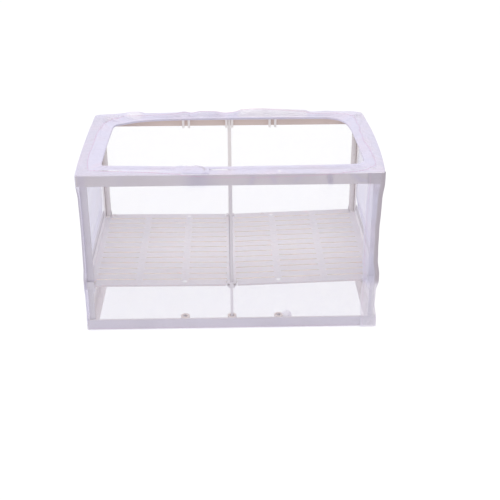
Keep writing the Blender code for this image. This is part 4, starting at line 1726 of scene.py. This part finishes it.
@dataclass
class PlasticFrame:
    """The carried-over rails, posts and tray with their finishes."""

    finishes: tuple[tuple[str, MouldedPlastic], ...]

    def finish_of(self, name: str) -> MouldedPlastic:
        """Pick the finish of a node, the first one whose word is part of the node's name."""
        return next(finish for word, finish in self.finishes if word in name)

    def dress(self, nodes: dict[str, bpy.types.Object]) -> None:
        """Give each plastic node its finish.

        Args:
            nodes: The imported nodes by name.
        """
        made: dict[str, bpy.types.Material] = {}
        for name, obj in nodes.items():
            if name.startswith("net_") or name == "hem_elastic":
                continue
            finish = self.finish_of(name)
            if finish.name not in made:
                made[finish.name] = finish.material()
            obj.data.materials.clear()
            obj.data.materials.append(made[finish.name])
            LOG.info("%s: %s", name, finish.name)


@dataclass
class TrayTrim:
    """The plugs in the tray's holes, near white as painted highlights, and the lip along the outer end of
    each half.
    """

    plug: bpy.types.Material
    sheet: bpy.types.Material
    hinge_x: float = 2.6 * MM
    hinge_top: float = 44.5 * MM
    end_x: float = 126.7 * MM
    end_tops: tuple[Pair, ...] = ((-1.0, 45.5 * MM), (1.0, 48.5 * MM))
    plug_x: float = 41.5 * MM
    plug_y: float = 69.5 * MM
    plug_radius: float = 2.1 * MM
    plug_rise: float = 0.4 * MM
    lip_start: float = 125.6 * MM
    lip_end: float = 127.2 * MM
    lip_rise: float = 3.2 * MM
    lip_half_depth: float = 67.5 * MM
    lip_thickness: float = 1.4 * MM
    plug_sides: int = 20

    def top(self, sign: float, x: float) -> float:
        """Give the height of the tray's upper face at a distance from the middle."""
        share = (x - self.hinge_x) / (self.end_x - self.hinge_x)
        return blend(self.hinge_top, dict(self.end_tops)[sign], share)

    def plug_mesh(self, name: str, sign: float) -> bpy.types.Mesh:
        """Make the two low domes of one half.

        Args:
            name: The mesh's name.
            sign: -1 for the left half and 1 for the right one.

        Returns:
            The domes' mesh.
        """
        sides = self.plug_sides
        rings = ((1.0, -0.3 * MM), (1.0, 0.1 * MM), (0.86, 0.26 * MM), (0.55, 0.36 * MM))
        turns = [2 * math.pi * step / sides for step in range(sides)]
        x = sign * self.plug_x
        top = self.top(sign, self.plug_x)
        verts: list[Triple] = []
        faces: list[tuple[int, ...]] = []
        for y in (-self.plug_y, self.plug_y):
            first = len(verts)
            for share, up in rings:
                reach = self.plug_radius * share
                for turn in turns:
                    verts.append((x + reach * math.cos(turn), y + reach * math.sin(turn), top + up))
            verts.append((x, y, top + self.plug_rise))
            last = first + (len(rings) - 1) * sides
            for low in range(first, last, sides):
                for step in range(sides):
                    following = (step + 1) % sides
                    faces.append((low + step, low + following, low + sides + following, low + sides + step))
            faces.extend((last + step, last + (step + 1) % sides, len(verts) - 1) for step in range(sides))
        mesh = bpy.data.meshes.new(name)
        mesh.from_pydata(verts, [], faces)
        mesh.shade_smooth()
        return mesh

    def lip_mesh(self, name: str, sign: float) -> bpy.types.Mesh:
        """Make the lip that stands up along one half's end, close to the rail's wall.

        Args:
            name: The mesh's name.
            sign: -1 for the left half and 1 for the right one.

        Returns:
            The lip's mesh.
        """
        foot = self.top(sign, self.lip_start) - 0.05 * MM
        head = self.top(sign, self.lip_end) + self.lip_rise
        start, end = self.lip_start, self.lip_end
        outline = (
            (start, foot), (start + 0.4 * MM, foot - self.lip_thickness),
            (end, head - self.lip_rise - self.lip_thickness), (end, head), (end - 0.35 * MM, head),
        )
        count = len(outline)
        verts = [(sign * x, y, z) for y in (-self.lip_half_depth, self.lip_half_depth) for x, z in outline]
        faces = [tuple(range(count)), tuple(range(2 * count - 1, count - 1, -1))]
        for step in range(count):
            following = (step + 1) % count
            faces.append((following, step, count + step, count + following))
        if sign < 0:
            faces = [face[::-1] for face in faces]
        mesh = bpy.data.meshes.new(name)
        mesh.from_pydata(verts, [], faces)
        return mesh

    def build(self) -> None:
        """Make the plugs and the lip of each half, riding on it."""
        for sign, body in ((-1.0, "left_panel"), (1.0, "right_panel")):
            pieces = (
                (self.plug_mesh(body + "_plugs", sign), self.plug),
                (self.lip_mesh(body + "_lip", sign), self.sheet),
            )
            for mesh, finish in pieces:
                obj = add_object(mesh.name, mesh)
                mesh.materials.append(finish)
                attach(obj, body)
                LOG.info("%s: %d faces", obj.name, len(mesh.polygons))


@dataclass
class Studio:
    """Floor, lights and camera."""

    lens: float = 70.91
    place: Triple = (-0.00316, -0.84047, 0.45926)
    angles: Triple = (63.5236, 0.1026, -1.5007)
    floor_half: float = 6.0
    sky: float = 0.60
    overhead: float = 9.5
    front: float = 5.0
    paper: float = 0.10
    glow: float = 0.80
    seen_glow: float = 0.955
    white: tuple[float, ...] = (1.0, 1.0, 1.0, 1.0)

    def build_floor(self) -> None:
        """Lay a white floor that shows as white and keeps the object's shadow."""
        reach = self.floor_half
        corners = [(-reach, -reach, 0), (reach, -reach, 0), (reach, reach, 0), (-reach, reach, 0)]
        mesh = bpy.data.meshes.new("studio_floor")
        mesh.from_pydata(corners, [], [(0, 1, 2, 3)])
        floor = add_object("studio_floor", mesh)
        tree = ShaderTree("studio_paper")
        extra = tree.math("MULTIPLY", self.seen(tree), self.seen_glow - self.glow)
        paper = (self.paper, self.paper, self.paper, 1.0)
        tree.dress({"Base Color": paper, "Roughness": 0.9, "Specular IOR Level": 0.0})
        tree.dress({"Emission Color": self.white, "Emission Strength": tree.math("ADD", extra, self.glow)})
        floor.data.materials.append(tree.material)

    @staticmethod
    def seen(tree: NodeTree) -> Socket:
        """Build the share of rays that see the background: camera, mirror and glass rays.

        Args:
            tree: The nodes of the material or the world.

        Returns:
            The output that is 1 for those rays.
        """
        rays = tree.add("ShaderNodeLightPath").outputs
        first = tree.math("MAXIMUM", rays["Is Camera Ray"], rays["Is Glossy Ray"])
        return tree.math("MAXIMUM", first, rays["Is Transmission Ray"])

    def build_world(self) -> None:
        """Light evenly from all round and show white behind."""
        world = bpy.data.worlds.new("studio_light")
        bpy.context.scene.world = world
        world.use_nodes = True
        tree = NodeTree(world.node_tree)
        inputs = {"Value": self.seen(tree), "To Min": self.sky, "To Max": 1.0}
        strength = tree.add("ShaderNodeMapRange", inputs).outputs[0]
        background = tree.nodes["Background"]
        tree.feed(background.inputs["Color"], self.white)
        tree.feed(background.inputs["Strength"], strength)

    def add_panel(self, name: str, size: float, watts: float, place: Triple, aim: Triple) -> None:
        """Hang a square light panel.

        Args:
            name: The light's name.
            size: The panel's side.
            watts: Its power.
            place: Where it hangs.
            aim: The point that it faces.
        """
        light = bpy.data.lights.new(name, "AREA")
        light.shape = "SQUARE"
        light.size = size
        light.energy = watts
        obj = add_object(name, light)
        obj.location = place
        obj.rotation_euler = (Vector(aim) - Vector(place)).to_track_quat("-Z", "Y").to_euler()

    def build_camera(self) -> None:
        """Set the camera where the photograph was taken from."""
        camera = bpy.data.cameras.new("photo_camera")
        camera.lens = self.lens
        camera.sensor_width = 36.0
        camera.clip_start = 0.01
        obj = add_object("photo_camera", camera)
        obj.location = self.place
        obj.rotation_euler = Euler([math.radians(angle) for angle in self.angles])
        bpy.context.scene.camera = obj

    def build(self) -> None:
        """Set up the whole studio."""
        self.build_floor()
        self.build_world()
        self.add_panel("overhead_panel", 1.4, self.overhead, (-0.15, 0.05, 1.5), (0.0, 0.0, 0.1))
        self.add_panel("front_panel", 1.2, self.front, (-0.2, -1.7, 1.0), (0.0, 0.0, 0.08))
        self.build_camera()
        bpy.context.scene.view_settings.view_transform = "Standard"


def main() -> None:
    """Dress the frame, sew the bag round it and set up the studio."""
    logging.basicConfig(level=logging.INFO, format="%(name)s %(message)s")
    # One white plastic throughout: the pieces take lighter or darker copies of its tone by how much light
    # reaches them, as painted light and shade.
    bare, light = (0.78, 0.745, 0.76), (0.98, 0.94, 0.94)
    # Painted shade: darker tones for the faces turned out of the box.
    post_outward_shade, top_outward_shade, low_outward_shade = (0.60, 0.56, 0.635), (0.67, 0.62, 0.65), (0.72, 0.68, 0.755)
    # Painted shade: tan on the top rails' inner walls, brown on the back posts' sideways faces.
    tan, brown = (0.72, 0.605, 0.565), (0.30, 0.23, 0.21)
    # Painted light: lighter tones on the prongs below the top rails and on the sockets above the low rails.
    prong_tip = ((1.0, 0.98, 0.95), 139.45 * MM, 139.35 * MM)
    socket_tip = ((1.0, 0.90, 0.83), 10.5 * MM, 10.6 * MM)
    # Painted light on the tray's slot walls and upright edges; painted shade on its outer edges.
    tray_tone, slot_tone, edge_tone = (0.76, 0.72, 0.75), (0.93, 0.85, 0.79), (0.72, 0.66, 0.68)
    tray = MouldedPlastic(
        "tray_plastic", tray_tone, slot_tone, TintRule.SLOT_WALL, edge_tone,
        glow_depth=0.9 * MM, flow_marks=0.02, waviness=0.05, wall_x=1.0,
    )
    # Painted light: the tray rails' inner walls take the tray's tone.
    tray_rail = MouldedPlastic(
        "tray_rail_plastic", (0.72, 0.68, 0.71), tray_tone, TintRule.INNER_WALL, (0.73, 0.69, 0.74)
    )
    top_rail = MouldedPlastic("top_rail_plastic", light, tan, TintRule.INNER_WALL, top_outward_shade, prong_tip)
    low_rail = MouldedPlastic("low_rail_plastic", light, light, TintRule.NONE, low_outward_shade, socket_tip)
    back_post = MouldedPlastic("back_post_plastic", light, brown, TintRule.RETURN_FACE, post_outward_shade)
    upper_post = MouldedPlastic("upper_post_plastic", bare, bare, TintRule.NONE, (0.66, 0.62, 0.68))
    low_post = MouldedPlastic("low_post_plastic", light, light, TintRule.NONE, (0.72, 0.685, 0.73))
    # Painted light and shade: lighter or darker copies of the plastic for the crossbar and the centre posts.
    crossbar = MouldedPlastic("crossbar_plastic", (0.80, 0.76, 0.78), bare, TintRule.NONE)
    back_centre = MouldedPlastic("back_centre_plastic", (0.88, 0.84, 0.84), bare, TintRule.NONE)
    front_centre = MouldedPlastic("front_centre_plastic", (0.74, 0.70, 0.72), bare, TintRule.NONE)
    low_centre = MouldedPlastic("low_centre_plastic", (0.88, 0.84, 0.88), bare, TintRule.NONE)
    finishes = (
        ("tray_panel", tray), ("tray_rail", tray_rail), ("top_", top_rail), ("bottom_", low_rail),
        ("crossbar", crossbar), ("back_centre", back_centre), ("upper_front_centre", front_centre),
        ("lower_front_centre", low_centre), ("upper_back", back_post), ("upper_", upper_post),
        ("lower_", low_post),
    )
    PlasticFrame(finishes).dress(frame["nodes"])
    # Painted highlights: the near-white plugs stand for the light spots at the tray's holes.
    plug = MouldedPlastic("plug_plastic", (1.0, 0.98, 1.0), bare, TintRule.NONE, glow_depth=1.8 * MM)
    # Painted shade on the lip's top edge, painted light on its upright faces.
    lip = MouldedPlastic("lip_plastic", (0.62, 0.58, 0.62), (0.98, 0.94, 0.97), TintRule.SLOT_WALL)
    TrayTrim(plug.material(), lip.material()).build()
    # dusk is the cloth's painted shade tone.
    lilac, rosy, dusk = (0.75, 0.72, 0.88), (0.78, 0.71, 0.85), (0.49, 0.44, 0.50)
    net = SheerNet(
        "net_mesh", (0.75, 0.72, 0.96), (0.77, 0.71, 0.92), dusk,
        cover=0.13, gathered_cover=0.6, slant_growth=0.85, patchiness=0.05,
    )
    rim = SheerNet("rim_fabric", lilac, rosy, dusk, cover=0.33, gathered_cover=0.68)
    thread = TwistedThread("sewing_thread", tone=(0.82, 0.54, 0.70), painted_shade_tone=(0.70, 0.42, 0.60)).material()
    cover = TwistedThread("elastic_cover", tone=(0.80, 0.78, 0.86), painted_shade_tone=(0.62, 0.60, 0.70)).material()
    outline = BagOutline()
    rim_material = rim.material()
    NetBag(outline, net.material(), rim_material, thread).build()
    FoldedRim(outline, rim_material, thread, cover).build()
    Studio().build()


if __name__ == "__main__":
    main()
